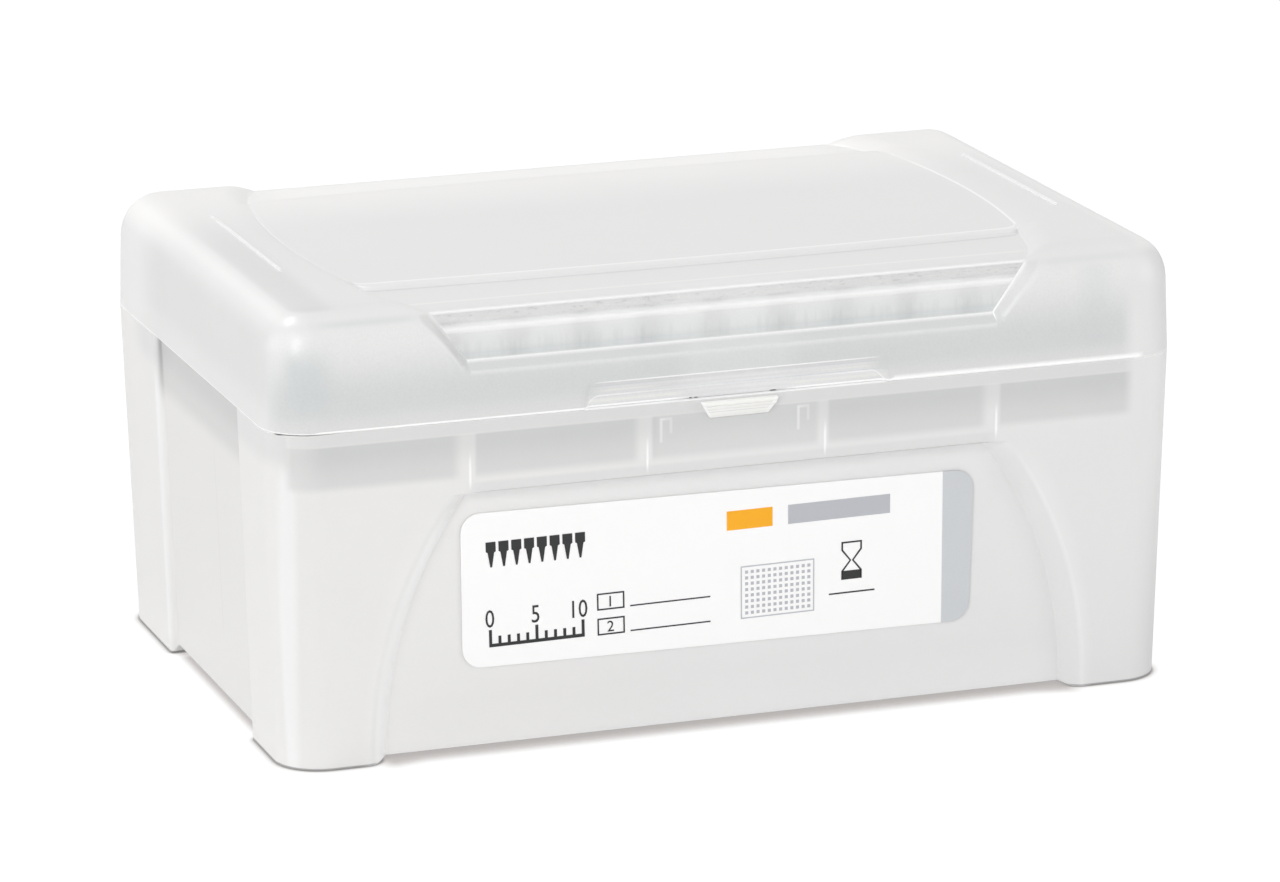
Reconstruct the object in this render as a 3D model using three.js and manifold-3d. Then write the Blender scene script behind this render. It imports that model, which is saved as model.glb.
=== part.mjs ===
// A hinged box of pipette tips: base, lid, tip tray, front label and the tips of the four front rows.
// Millimetres, +X to the right along the length, +Y to the hinge side, +Z up, feet on Z = 0.

import * as THREE from 'three';
import { mergeVertices } from 'three/addons/utils/BufferGeometryUtils.js';
import Module from 'manifold-3d';

const wasm = await Module();
wasm.setup();

// ---- Driving dimensions -------------------------------------------------------------------------

// The grid of tips sets the plan of the box.
const tipPitch = 9;
const tipColumns = 12;
const tipRows = 8;
const modelledRows = 4; // front rows that have nodes of their own
const endMargin = 13.1; // from the last tip's axis to the outside of an end wall
const frontMargin = 9.3; // from the last tip's axis to the outside of the front or rear wall

// One tip, from its open top down.
const tipLength = 31.5;
const collarHeight = 10.1;
const collarRadius = 3.15; // at the mouth
const collarFootRadius = 3;
const mouthBore = 2.2;
const neckRadius = 2.2;
const neckBore = 1.35;
const waistDrop = 8.5; // from the collar's foot down to where the stem turns slimmer
const waistRadius = 1.75;
const tipEndRadius = 0.5;
const tipEndBore = 0.22;

// Base.
const seamHeight = 44.95; // middle of the joint line between base and lid
const seamGap = 0.3;
const cornerRadius = 6.3;
const baseWall = 1.2;
const baseDraft = 0.02; // share by which the plan shrinks from the seam down to the feet
const floorThickness = 1.3;
const footLift = 0.7; // height of the floor's underside between the feet
const footEdgeRadius = 0.4;
const footLength = 14.7; // along X, from the end of the box to the foot of the front recess
const recessDepth = 2.2;
const recessTopDrop = 10.5; // from the seam down to the recess's roof
const recessFlare = 11.8; // how much further out the recess reaches at its foot than at its roof
const recessWallAtFoot = 2.3; // width of its sloping side wall
const recessWallAtRoof = 0.5;
const sideRecessDepth = 1;
const sideRecessFront = -23.8;
const sideRecessBack = 16.2;
const shelfTopDrop = 7.35; // from the seam down to the corner shelves that carry the tray
const shelfThickness = 1.1;
const shelfMargin = 0.2; // of the shelf past the skirt that stands on it
const ribPlaces = [11.8, 36.2]; // X of the ribs inside the front and rear walls, either side
const ribWidth = 1.8;
const ribDepth = 0.9;
const ribTopDrop = 0.65;
const catchHalfWidth = 5.2;
const catchNarrowing = 0.7; // of each end towards its foot
const catchHeight = 2.4;
const catchReach = 0.9;
const catchDrop = 0.2; // from the rim down to its flat top
const catchLip = 1.2; // height of its front edge

// Lid.
const lidWall = 1.2;
const lidDraft = 0.00048; // share of the plan lost for each millimetre above the seam
const lidEdgeRadius = 5.5;
const tipHeadroom = 1.4; // from the tips up to the lid's ceiling
const pocketDepth = 1.2; // the middle of the lid's top below its end shoulders
const pocketEndInset = 15.16; // from the end of the box to the foot of the pocket's slope, halfway back
const pocketBow = 7.24; // how much the pocket narrows towards the front and the rear
const pocketSlopeWidth = 3.5;
const plateauHeight = 0.5;
const plateauFront = 25.1; // from the middle of the lid to the middle of the plateau's front edge
const plateauRear = 28.7;
const plateauBow = 4.1; // how far those edges fall back over half the box's length
const stackRibInset = 8.5; // from the end of the box to the rib on each shoulder
const stackRibHalfLength = 16.5;
const stackRibWidth = 0.6;
const stackRibHeight = 0.65;
const windowSill = 7.55; // from the seam up to the window
const windowEndInset = 26.3; // from the end of the box to the window's lower corner
const windowSlant = 0.68; // how far its ends lean outwards for each millimetre up
const windowDepth = 1.9;
const windowBevel = 1.2;
const gripHalfWidth = 21.2;
const gripTaper = 2;
const gripHeight = 3.5;
const gripFlat = 1.55;
const gripDepth = 0.8;

// Tray.
const deckThickness = 1.5;
const deckRise = 1.25; // of the deck's top above the seam
const deckEndGap = 0.4;
const holeLip = 0.13; // of the deck under the rim of each tip's collar
const skirtGap = 0.4; // from the ribs inside the base
const skirtWall = 1;
const clipGap = 0.55; // from the rib beside it
const clipWidth = 1.9;
const clipSlot = 0.9;
const clipHeight = 3.7;
const clipReach = 0.45;

// Hinge.
const hingePlace = 30; // X of each hinge, either side
const hingeReach = 2.8; // of the pin's axis behind the rear wall
const pinRadius = 1.1;
const pinGap = 0.3;
const knuckleWall = 1;
const knuckleWidth = 7;
const cheekWidth = 2.2;
const cheekRadius = 2.2;
const cheekFootDrop = 6.4; // from the pin's axis down to the foot of each cheek
const cheekHeel = 1.4;
const cheekTopDrop = 0.6; // from the rim
const armRise = 0.4; // of each knuckle's arm above the lid's rim
const knuckleMouth = Math.PI / 3;

// Label.
const labelHeight = 20.8;
const labelCorner = 2.6;
const labelThickness = 0.2;
const labelGap = 0.1;
const labelTopDrop = 2.8; // from the recess's roof
const labelLeftMargin = 0.6; // from the recess's side, level with the label's top
const labelRightMargin = 4.2;
const labelTilt = -0.009;

// Clearances and the fineness of the curves.
const seatGap = 0.3;
const runOut = 5; // how far a cutter passes beyond what it cuts
const cornerSteps = 6;
const edgeSteps = 5;
const sideSteps = 10;
const tipSides = 8;
const pinSides = 16;

// ---- Derived sizes ------------------------------------------------------------------------------

const halfLength = ((tipColumns - 1) * tipPitch) / 2 + endMargin;
const halfWidth = ((tipRows - 1) * tipPitch) / 2 + frontMargin;
const rimTop = seamHeight - seamGap / 2;
const lidBottom = seamHeight + seamGap / 2;
const deckTop = seamHeight + deckRise;
const deckBottom = deckTop - deckThickness;
const collarBottom = deckTop + seatGap;
const tipTop = collarBottom + collarHeight;
const ceiling = tipTop + tipHeadroom;
const pocketFloor = ceiling + lidWall;
const shoulderTop = pocketFloor + pocketDepth;
const floorTop = footLift + floorThickness;
const recessTop = seamHeight - recessTopDrop;
const shelfTop = seamHeight - shelfTopDrop;
const deckX = halfLength - Math.max(baseWall + sideRecessDepth, lidWall) - deckEndGap;
const deckY = halfWidth - Math.max(baseWall, lidWall) - gripDepth - seatGap;
const skirtY = halfWidth - baseWall - ribDepth - skirtGap;
const pinY = halfWidth + hingeReach;
const pinZ = seamHeight;
const knuckleRadius = pinRadius + pinGap + knuckleWall;

// ---- Geometry helpers ---------------------------------------------------------------------------

const point = (x, y) => new THREE.Vector2(x, y);

// The closed skin through a stack of outlines with equal numbers of points, each at its own height.
function loft(sections) {
  const count = sections[0].outline.length;
  const places = [];
  const faces = [];
  for (const { outline, at } of sections) {
    for (const p of outline) places.push(p.x, p.y, at);
  }
  for (let start = 0; start < (sections.length - 1) * count; start += count) {
    for (let i = 0; i < count; i++) {
      const a = start + i;
      const b = start + ((i + 1) % count);
      faces.push(a, b, b + count, a, b + count, a + count);
    }
  }
  const last = sections.length - 1;
  for (const [a, b, c] of THREE.ShapeUtils.triangulateShape(sections[0].outline, [])) {
    faces.push(a, c, b);
  }
  for (const [a, b, c] of THREE.ShapeUtils.triangulateShape(sections[last].outline, [])) {
    faces.push(last * count + a, last * count + b, last * count + c);
  }
  const geometry = new THREE.BufferGeometry();
  geometry.setAttribute('position', new THREE.Float32BufferAttribute(places, 3));
  geometry.setIndex(faces);
  return geometry;
}

const prism = (outline, from, to) => loft([{ outline, at: from }, { outline, at: to }]);

const rectangle = (left, right, low, high) => [
  point(left, low),
  point(right, low),
  point(right, high),
  point(left, high),
];

const block = (left, right, front, back, low, high) =>
  prism(rectangle(left, right, front, back), low, high);

function roundedRectangle(halfX, halfY, radius) {
  const points = [];
  const corners = [point(1, 1), point(-1, 1), point(-1, -1), point(1, -1)];
  corners.forEach((corner, quarter) => {
    for (let i = 0; i <= cornerSteps; i++) {
      const angle = ((quarter + i / cornerSteps) * Math.PI) / 2;
      const x = corner.x * (halfX - radius) + radius * Math.cos(angle);
      const y = corner.y * (halfY - radius) + radius * Math.sin(angle);
      points.push(point(x, y));
    }
  });
  return points;
}

// An outline drawn in X and Z becomes a shape whose depth runs towards -Y.
const facingFront = (geometry) => geometry.rotateX(Math.PI / 2);

// An outline drawn in Y and Z becomes a shape whose depth runs along +X.
function alongX(geometry, from) {
  const axes = new THREE.Matrix4();
  axes.makeBasis(new THREE.Vector3(0, 1, 0), new THREE.Vector3(0, 0, 1), new THREE.Vector3(1, 0, 0));
  return geometry.applyMatrix4(axes).translate(from, 0, 0);
}

function solid(geometry) {
  const bare = geometry.clone();
  bare.deleteAttribute('normal');
  bare.deleteAttribute('uv');
  const merged = mergeVertices(bare, 1e-5);
  return new wasm.Manifold(
    new wasm.Mesh({
      numProp: 3,
      vertProperties: new Float32Array(merged.attributes.position.array),
      triVerts: new Uint32Array(merged.index.array),
    }),
  );
}

const joined = (first, ...others) => others.reduce((sum, next) => sum.add(next), first);
const mirroredX = (shape) => joined(shape, shape.mirror([1, 0, 0]));
const turnedHalf = (shape) => shape.rotate([0, 0, 180]);
const withRear = (shape) => joined(shape, turnedHalf(shape));

function fromSolid(shape) {
  const { numProp, vertProperties, triVerts } = shape.getMesh();
  const places = [];
  for (let i = 0; i < vertProperties.length; i += numProp) {
    places.push(vertProperties[i], vertProperties[i + 1], vertProperties[i + 2]);
  }
  const geometry = new THREE.BufferGeometry();
  geometry.setAttribute('position', new THREE.Float32BufferAttribute(places, 3));
  geometry.setIndex(Array.from(triVerts));
  return geometry;
}

// Draws the plan in or out with height, as the draft of a mould does.
function tapered(geometry, scaleAt) {
  const position = geometry.attributes.position;
  for (let i = 0; i < position.count; i++) {
    const scale = scaleAt(position.getZ(i));
    position.setXY(i, position.getX(i) * scale, position.getY(i) * scale);
  }
  return geometry;
}

const baseScale = (z) => 1 - (baseDraft * Math.max(0, seamHeight - z)) / seamHeight;
const lidScale = (z) => 1 - lidDraft * Math.max(0, z - seamHeight);

function piece(name, geometry, material) {
  geometry.computeVertexNormals();
  const mesh = new THREE.Mesh(geometry, material);
  mesh.name = name;
  return mesh;
}

// ---- Base ---------------------------------------------------------------------------------------

// The recess's side follows an arc that is upright at the feet.
function recessSide(footX, flare, grow = 0) {
  const radius = (recessTop ** 2 + flare ** 2) / (2 * flare) + grow;
  const centre = footX + grow - radius;
  return (z) => centre + Math.sqrt(radius ** 2 - z ** 2);
}

const recessFoot = halfLength - footLength;

// The recess in the front wall, widening from its back plane to the wall's face. A cutter for the
// inside of the wall is grown by the wall.
function frontRecess(grow) {
  const deep = halfWidth - recessDepth - grow;
  const top = recessTop + grow;
  const sections = [deep, deep + recessDepth, halfWidth + runOut].map((at) => {
    const share = (at - deep) / recessDepth;
    const flare = recessFlare + share * (recessWallAtFoot - recessWallAtRoof);
    const sideAt = recessSide(recessFoot + share * recessWallAtFoot, flare, grow);
    const side = [];
    for (let i = 0; i <= sideSteps; i++) {
      const z = (top * i) / sideSteps;
      side.push(point(sideAt(z), z));
    }
    const mirrored = side.map((p) => point(-p.x, p.y)).reverse();
    const foot = side[0].x;
    return { outline: [point(-foot, -runOut), point(foot, -runOut), ...side, ...mirrored], at };
  });
  return solid(facingFront(loft(sections)));
}

function sideRecess(grow) {
  const deep = halfLength - sideRecessDepth - grow;
  const out = halfLength + runOut;
  const lean = (out - deep) / 2;
  const outline = [
    point(deep, sideRecessFront - grow),
    point(out, sideRecessFront - grow - lean),
    point(out, sideRecessBack + grow + lean),
    point(deep, sideRecessBack + grow),
  ];
  return mirroredX(solid(prism(outline, -runOut, seamHeight + runOut)));
}

function baseOuter() {
  const sections = [];
  for (let i = 0; i <= 2; i++) {
    const angle = (i / 2) * (Math.PI / 2);
    const inset = footEdgeRadius * (1 - Math.sin(angle));
    sections.push({
      outline: roundedRectangle(halfLength - inset, halfWidth - inset, cornerRadius - inset),
      at: footEdgeRadius * (1 - Math.cos(angle)),
    });
  }
  sections.push({ outline: roundedRectangle(halfLength, halfWidth, cornerRadius), at: rimTop });
  return solid(loft(sections));
}

// The underside is raised along and across, which leaves a foot under each corner.
function underside() {
  const far = halfLength + runOut;
  const along = block(-far, far, sideRecessFront, sideRecessBack, -runOut, footLift);
  const across = block(-recessFoot, recessFoot, -far, far, -runOut, footLift);
  return joined(solid(along), solid(across));
}

const insideOutline = () =>
  roundedRectangle(halfLength - baseWall, halfWidth - baseWall, cornerRadius - baseWall);

function baseCavity() {
  const whole = solid(prism(insideOutline(), floorTop, seamHeight + runOut));
  return whole.subtract(withRear(frontRecess(baseWall))).subtract(sideRecess(baseWall));
}

// A shelf inside each corner, on which the tray's skirt stands.
function cornerShelves() {
  const low = shelfTop - shelfThickness;
  const inner = skirtY - skirtWall - shelfMargin;
  const far = halfLength + runOut;
  const front = solid(block(recessFoot - recessFlare, far, -far, -inner, low, shelfTop));
  const whole = solid(prism(insideOutline(), low, shelfTop));
  return withRear(mirroredX(front)).intersect(whole);
}

function wallRibs() {
  const inner = halfWidth - baseWall;
  const ribs = ribPlaces.map((x) => {
    const [left, right] = [x - ribWidth / 2, x + ribWidth / 2];
    const [front, back] = [-inner - baseWall / 2, -inner + ribDepth];
    return solid(block(left, right, front, back, recessTop + baseWall / 2, seamHeight - ribTopDrop));
  });
  return withRear(mirroredX(joined(...ribs)));
}

// The thumb ledge under the lid's front edge: flat on top, sloping back to the wall below.
function catchLedge() {
  const top = rimTop - catchDrop;
  const low = top - catchHeight;
  const lowHalf = catchHalfWidth - catchNarrowing;
  const wallOutline = [
    point(-lowHalf, low),
    point(lowHalf, low),
    point(catchHalfWidth, top),
    point(-catchHalfWidth, top),
  ];
  const outOutline = wallOutline.map((p) => point(p.x, Math.max(p.y, top - catchLip)));
  const sections = [
    { outline: wallOutline, at: halfWidth - baseWall / 2 },
    { outline: outOutline, at: halfWidth + catchReach },
  ];
  return solid(facingFront(loft(sections)));
}

// Two cheeks and a pin between them for each hinge.
function hingeCheeks() {
  const wallY = halfWidth - baseWall / 2;
  const cheek = new THREE.Shape();
  cheek.moveTo(wallY, pinZ - cheekFootDrop);
  cheek.lineTo(wallY + cheekHeel, pinZ - cheekFootDrop);
  cheek.lineTo(pinY + cheekRadius, pinZ);
  cheek.absarc(pinY, pinZ, cheekRadius, 0, Math.PI, false);
  cheek.lineTo(pinY - cheekRadius, rimTop - cheekTopDrop);
  cheek.lineTo(wallY, rimTop - cheekTopDrop);
  const gap = knuckleWidth / 2 + seatGap;
  const shapes = [hingePlace - gap - cheekWidth, hingePlace + gap].map((from) => {
    const settings = { depth: cheekWidth, bevelEnabled: false, curveSegments: pinSides / 2 };
    return solid(alongX(new THREE.ExtrudeGeometry(cheek, settings), from));
  });
  const pin = new THREE.CylinderGeometry(pinRadius, pinRadius, 2 * gap + cheekWidth, pinSides);
  pin.rotateZ(Math.PI / 2);
  pin.translate(hingePlace, pinY, pinZ);
  return mirroredX(joined(...shapes, solid(pin)));
}

function makeBase() {
  const shell = baseOuter()
    .subtract(withRear(frontRecess(0)))
    .subtract(sideRecess(0))
    .subtract(underside())
    .subtract(baseCavity());
  return joined(shell, cornerShelves(), wallRibs(), catchLedge(), hingeCheeks());
}

// ---- Lid ----------------------------------------------------------------------------------------

// A rounded box with rounded upper edges, inset on every side by one wall for the inside.
function lidBody(inset, bottom) {
  const radius = lidEdgeRadius - inset;
  const sections = [];
  const section = (back, at) => {
    const outline = roundedRectangle(
      halfLength - inset - back,
      halfWidth - inset - back,
      cornerRadius - inset - back,
    );
    sections.push({ outline, at });
  };
  section(0, bottom);
  for (let i = 0; i <= edgeSteps; i++) {
    const angle = ((i / edgeSteps) * Math.PI) / 2;
    section(radius * (1 - Math.cos(angle)), shoulderTop - inset - radius * (1 - Math.sin(angle)));
  }
  return solid(loft(sections));
}

const pocketHalfLength = (y) => halfLength - pocketEndInset - pocketBow * (y / halfWidth) ** 2;

function bowedOutline(grow) {
  const side = [];
  for (let i = 0; i <= sideSteps; i++) {
    const y = (halfWidth + runOut) * (1 - (2 * i) / sideSteps);
    side.push(point(-(pocketHalfLength(y) + grow), y));
  }
  return [...side, ...side.map((p) => point(-p.x, -p.y))];
}

// The shallow pocket that runs from front to rear between the lid's two shoulders.
function topPocket(floor) {
  const slope = pocketSlopeWidth / pocketDepth;
  const sections = [floor, shoulderTop + runOut].map((at) => ({
    outline: bowedOutline(slope * (at - pocketFloor)),
    at,
  }));
  return solid(loft(sections));
}

// Raised in the middle of the pocket, its ends sunk into the shoulders' slopes.
function plateau() {
  const [low, high] = [pocketFloor - lidWall / 2, pocketFloor + plateauHeight];
  const front = [];
  const rear = [];
  for (let i = 0; i <= sideSteps; i++) {
    const share = (2 * i) / sideSteps - 1;
    const x = halfLength * share;
    const back = plateauBow * share ** 2;
    front.push(point(x, back - plateauFront));
    rear.unshift(point(x, plateauRear - back));
  }
  const crowned = solid(prism([...front, ...rear], low, high));
  return crowned.intersect(solid(prism(bowedOutline(pocketSlopeWidth), low, high)));
}

function stackRibs() {
  const [left, right] = [halfLength - stackRibInset - stackRibWidth, halfLength - stackRibInset];
  const half = stackRibHalfLength;
  const [low, high] = [shoulderTop - lidWall / 2, shoulderTop + stackRibHeight];
  return mirroredX(solid(block(left, right, -half, half, low, high)));
}

// The bay of the clear window in the lid's front, open upwards into the pocket.
function windowBay(grow) {
  const deep = halfWidth - windowDepth - grow;
  const sections = [deep, deep + windowDepth, halfWidth + runOut].map((at) => {
    const bevel = (windowBevel * (at - deep)) / windowDepth + grow;
    const sill = seamHeight + windowSill - bevel;
    const low = halfLength - windowEndInset + bevel / 2;
    const rise = shoulderTop + runOut - sill;
    const high = low + windowSlant * rise + grow / 2;
    const top = sill + rise;
    const outline = [point(-low, sill), point(low, sill), point(high, top), point(-high, top)];
    return { outline, at };
  });
  return solid(facingFront(loft(sections)));
}

// The finger grip above the seam: a slope down to a narrow flat.
function fingerGrip(grow) {
  const deep = halfWidth - gripDepth - grow;
  const step = (width, height, at) => {
    const low = seamHeight - runOut;
    const high = seamHeight + height + grow;
    const outline = [
      point(-gripHalfWidth - grow, low),
      point(gripHalfWidth + grow, low),
      point(width + grow, high),
      point(-width - grow, high),
    ];
    return { outline, at };
  };
  const sections = [
    step(gripHalfWidth - gripTaper / 2, gripFlat, deep),
    step(gripHalfWidth - gripTaper, gripHeight, deep + gripDepth),
    step(gripHalfWidth - gripTaper, gripHeight + 1, deep + gripDepth + 1),
    step(gripHalfWidth - gripTaper, gripHeight + 1, halfWidth + runOut),
  ];
  return solid(facingFront(loft(sections)));
}

// Open knuckles that snap over the pins, each on an arm from the lid's rear wall.
function hingeKnuckles() {
  const wallY = halfWidth - lidWall / 2;
  const armLow = lidBottom + armRise;
  const down = (3 * Math.PI) / 2;
  const far = down - knuckleMouth / 2;
  const near = down + knuckleMouth / 2;
  const outline = new THREE.Shape();
  outline.moveTo(wallY, armLow);
  outline.lineTo(pinY - knuckleRadius, armLow);
  outline.absarc(pinY, pinZ, knuckleRadius, Math.PI, far, false);
  outline.lineTo(pinY, pinZ);
  outline.absarc(pinY, pinZ, knuckleRadius, near, down + Math.PI, false);
  outline.lineTo(wallY, pinZ + knuckleRadius);
  const settings = { depth: knuckleWidth, bevelEnabled: false, curveSegments: pinSides / 2 };
  const knuckle = new THREE.ExtrudeGeometry(outline, settings);
  const boreSize = pinRadius + pinGap;
  const bore = new THREE.CylinderGeometry(boreSize, boreSize, knuckleWidth + runOut, pinSides);
  bore.rotateZ(Math.PI / 2);
  bore.translate(hingePlace, pinY, pinZ);
  const shape = solid(alongX(knuckle, hingePlace - knuckleWidth / 2)).subtract(solid(bore));
  return mirroredX(shape);
}

function makeLid() {
  const outer = lidBody(0, lidBottom)
    .subtract(topPocket(pocketFloor))
    .add(plateau())
    .subtract(windowBay(0))
    .subtract(fingerGrip(0));
  const inner = lidBody(lidWall, seamHeight - runOut)
    .subtract(topPocket(ceiling))
    .subtract(windowBay(lidWall))
    .subtract(fingerGrip(lidWall));
  return joined(outer.subtract(inner), stackRibs(), hingeKnuckles());
}

// ---- Tray ---------------------------------------------------------------------------------------

function eachTip(rows, visit) {
  for (let row = 0; row < rows; row++) {
    for (let column = 0; column < tipColumns; column++) {
      const x = (column - (tipColumns - 1) / 2) * tipPitch;
      const y = (row - (tipRows - 1) / 2) * tipPitch;
      visit(x, y, row, column);
    }
  }
}

function makeTray() {
  const radius = cornerRadius - (halfWidth - deckY);
  const deck = new THREE.Shape(roundedRectangle(deckX, deckY, radius));
  const holeRadius = collarFootRadius - holeLip;
  eachTip(tipRows, (x, y) => {
    const hole = new THREE.Path();
    hole.absarc(x, y, holeRadius, 0, 2 * Math.PI, true);
    deck.holes.push(hole);
  });
  const settings = { depth: deckThickness, bevelEnabled: false, curveSegments: tipSides / 2 };
  const plate = new THREE.ExtrudeGeometry(deck, settings);
  plate.translate(0, 0, deckBottom);

  const skirtX = deckX - seatGap;
  const skirtLow = shelfTop + seatGap;
  const skirtHigh = deckBottom + deckThickness / 2;
  const outside = roundedRectangle(skirtX, skirtY, radius);
  const inside = roundedRectangle(skirtX - skirtWall, skirtY - skirtWall, radius - skirtWall);
  const skirt = solid(prism(outside, skirtLow, skirtHigh))
    .subtract(solid(prism(inside, skirtLow - runOut, skirtHigh + runOut)));

  const right = ribPlaces[0] - ribWidth / 2 - clipGap;
  const left = right - clipWidth;
  const legs = rectangle(left, right, skirtLow, skirtLow + clipHeight);
  const slotEdge = (clipWidth - clipSlot) / 2;
  const slot = rectangle(left + slotEdge, right - slotEdge, skirtLow - 1, skirtLow + clipHeight - slotEdge);
  const [from, to] = [skirtY - skirtWall / 2, skirtY + clipReach];
  const clip = solid(facingFront(prism(legs, from, to)))
    .subtract(solid(facingFront(prism(slot, skirtY, to + 1))));
  return joined(solid(plate), skirt, withRear(mirroredX(clip)));
}

// ---- Tips and label -----------------------------------------------------------------------------

function makeTipGeometry() {
  const low = tipTop - tipLength;
  const profile = [
    point(tipEndBore, low),
    point(tipEndRadius, low),
    point(waistRadius, collarBottom - waistDrop),
    point(neckRadius, collarBottom),
    point(collarFootRadius, collarBottom),
    point(collarRadius, tipTop),
    point(mouthBore, tipTop),
    point(neckBore, collarBottom),
    point(tipEndBore, low),
  ];
  const turned = new THREE.LatheGeometry(profile, tipSides, Math.PI / tipSides);
  return turned.rotateX(Math.PI / 2);
}

function makeLabel() {
  const top = recessTop - labelTopDrop;
  const sideX = recessSide(recessFoot, recessFlare)(top);
  const halfSize = sideX - (labelLeftMargin + labelRightMargin) / 2;
  const outline = roundedRectangle(halfSize, labelHeight / 2, labelCorner);
  const back = halfWidth - recessDepth + labelGap;
  const plate = prism(outline, back, back + labelThickness);
  plate.rotateZ(labelTilt);
  plate.translate((labelLeftMargin - labelRightMargin) / 2, top - labelHeight / 2, 0);
  return facingFront(plate);
}

// ---- Assembly -----------------------------------------------------------------------------------

const milkyPlastic = new THREE.MeshStandardMaterial({ color: 0xe9e9e6, roughness: 0.45, metalness: 0 });
const frostedPlastic = new THREE.MeshStandardMaterial({ color: 0xdfe4e3, roughness: 0.3, metalness: 0 });
const trayPlastic = new THREE.MeshStandardMaterial({ color: 0xe3e6e4, roughness: 0.4, metalness: 0 });
const tipPlastic = new THREE.MeshStandardMaterial({ color: 0xe8ecec, roughness: 0.25, metalness: 0 });
const labelPaper = new THREE.MeshStandardMaterial({ color: 0xfafafa, roughness: 0.6, metalness: 0 });

const box = new THREE.Group();
box.add(piece('base', tapered(fromSolid(makeBase()), baseScale), milkyPlastic));
box.add(piece('lid', tapered(fromSolid(makeLid()), lidScale), frostedPlastic));
box.add(piece('tip_tray', fromSolid(makeTray()), trayPlastic));
box.add(piece('front_label', tapered(makeLabel(), baseScale), labelPaper));

const tips = new THREE.Group();
const rowLetters = 'HGFEDCBA';
eachTip(modelledRows, (x, y, row, column) => {
  const name = `tip_${rowLetters[row]}${String(column + 1).padStart(2, '0')}`;
  const tip = piece(name, makeTipGeometry(), tipPlastic);
  tip.position.set(x, y, 0);
  tips.add(tip);
});
box.add(tips);

// The origin is under the middle of everything, the thumb ledge and the hinges included.
const frontReach = halfWidth + catchReach;
const rearReach = pinY + knuckleRadius;
box.position.y = (frontReach - rearReach) / 2;

const model = new THREE.Group();
model.add(box);

export default model;
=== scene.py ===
"""A hinged box of pipette tips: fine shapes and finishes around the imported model.

Shapes are drawn in millimetres, with X = Y = 0 in the middle of the tray and Z = 0 under the feet,
and are put in their place in metres at the end.
"""

import functools
import math
import operator
from collections import namedtuple

import bmesh
import bpy
from mathutils import Matrix, Vector


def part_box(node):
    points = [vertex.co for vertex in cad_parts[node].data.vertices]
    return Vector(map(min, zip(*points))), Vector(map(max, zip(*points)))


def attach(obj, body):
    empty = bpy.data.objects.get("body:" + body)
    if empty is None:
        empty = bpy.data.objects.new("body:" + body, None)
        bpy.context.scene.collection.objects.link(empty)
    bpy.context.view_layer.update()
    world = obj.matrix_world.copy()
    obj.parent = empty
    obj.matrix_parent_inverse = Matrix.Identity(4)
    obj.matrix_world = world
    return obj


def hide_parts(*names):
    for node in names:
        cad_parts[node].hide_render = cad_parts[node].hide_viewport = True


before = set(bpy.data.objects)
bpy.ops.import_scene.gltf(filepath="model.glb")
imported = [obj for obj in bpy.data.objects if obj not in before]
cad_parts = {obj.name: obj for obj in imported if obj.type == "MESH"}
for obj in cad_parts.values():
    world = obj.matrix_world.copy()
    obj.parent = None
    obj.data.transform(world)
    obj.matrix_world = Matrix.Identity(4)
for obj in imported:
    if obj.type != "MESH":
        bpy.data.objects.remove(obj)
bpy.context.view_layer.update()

# ---- Sizes, in millimetres ----

MM = 0.001
tray_low, tray_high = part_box("tip_tray")
MIDDLE_Y = (tray_low.y + tray_high.y) / 2
TO_PLACE = Matrix.Translation((0, MIDDLE_Y, 0)) @ Matrix.Scale(MM, 4)

HALF_LENGTH = 62.597
HALF_WIDTH = 40.8
CORNER = 6.3  # radius of the upright corners
WALL = 1.2
SEAM = 44.95
SEAM_SLIT = 0.004  # half of the slit left between base and lid
CORNER_STEPS = 12

# Base.
BASE_DRAFT = 0.02 / SEAM
FOOT_LIFT = 0.55  # of the long walls
SIDE_LIFT = 1.25  # of the ends
LIFT_FADE = 4  # height over which the wall stretches down to the lifted underside
FLOOR_TOP = 2.0
FOOT_EDGE = 0.2
RECESS_DEPTH = 2.2
RECESS_TOP = 35.25
RECESS_ROUND = 0.9  # radius of its upper corners
RECESS_FOOT = 47.9
RECESS_FLARE = 12.31
RECESS_MIDDLE = -0.6
SHOULDER_AT_FOOT = 3.1  # width of the soft edge between recess and corner
SHOULDER_AT_ROOF = 3.4
SIDE_RECESS = 1.0
SIDE_FRONT = -23.5
SIDE_BACK = 17.5
LEDGE_HALF = 5.2
LEDGE_TOP = 44.6
LEDGE_FOOT = 42.4

# Lid.
LID_DRAFT = 0.00048
LID_EDGE = 5.5
SHOULDER_TOP = 60.4
POCKET_FLOOR = 59.2
POCKET_REACH = 48.7
POCKET_BOW = 4.1
POCKET_TURN = 3.2
POCKET_SLOPE = 3.5
SILL = 52.5
WINDOW_HALF = 36.3
WINDOW_DEPTH = 1.9
WINDOW_LEAN = 0.74
BAY_TOP = 58.9  # above this the bay's profile turns into the pocket's floor
PLATEAU_BOW = 1.9
PLATEAU_RISE = 0.5
PLATEAU_ROUND = 2.2  # radius of its corners
REAR_DROP = 0.45  # of the strip behind the plateau
RIB_X = (-54.3, 55.4)
RIB_FRONT = -15.6
RIB_BACK = 18.2
RIB_HALF = 0.16  # of its width
GRIP_DEPTH = 0.8
GRIP_END = 20.75

# Hinge.
HINGE_X = 30
PIN_Y = 43.6
PIN_RADIUS = 1.1
BORE_RADIUS = 1.4
KNUCKLE_RADIUS = 2.39
KNUCKLE_WIDTH = 7
KNUCKLE_FOOT = 45.5
CHEEK_RADIUS = 2.2
CHEEK_WIDTH = 2.2
CHEEK_TOP = 44.2
CHEEK_DROP = 6.4

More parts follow.
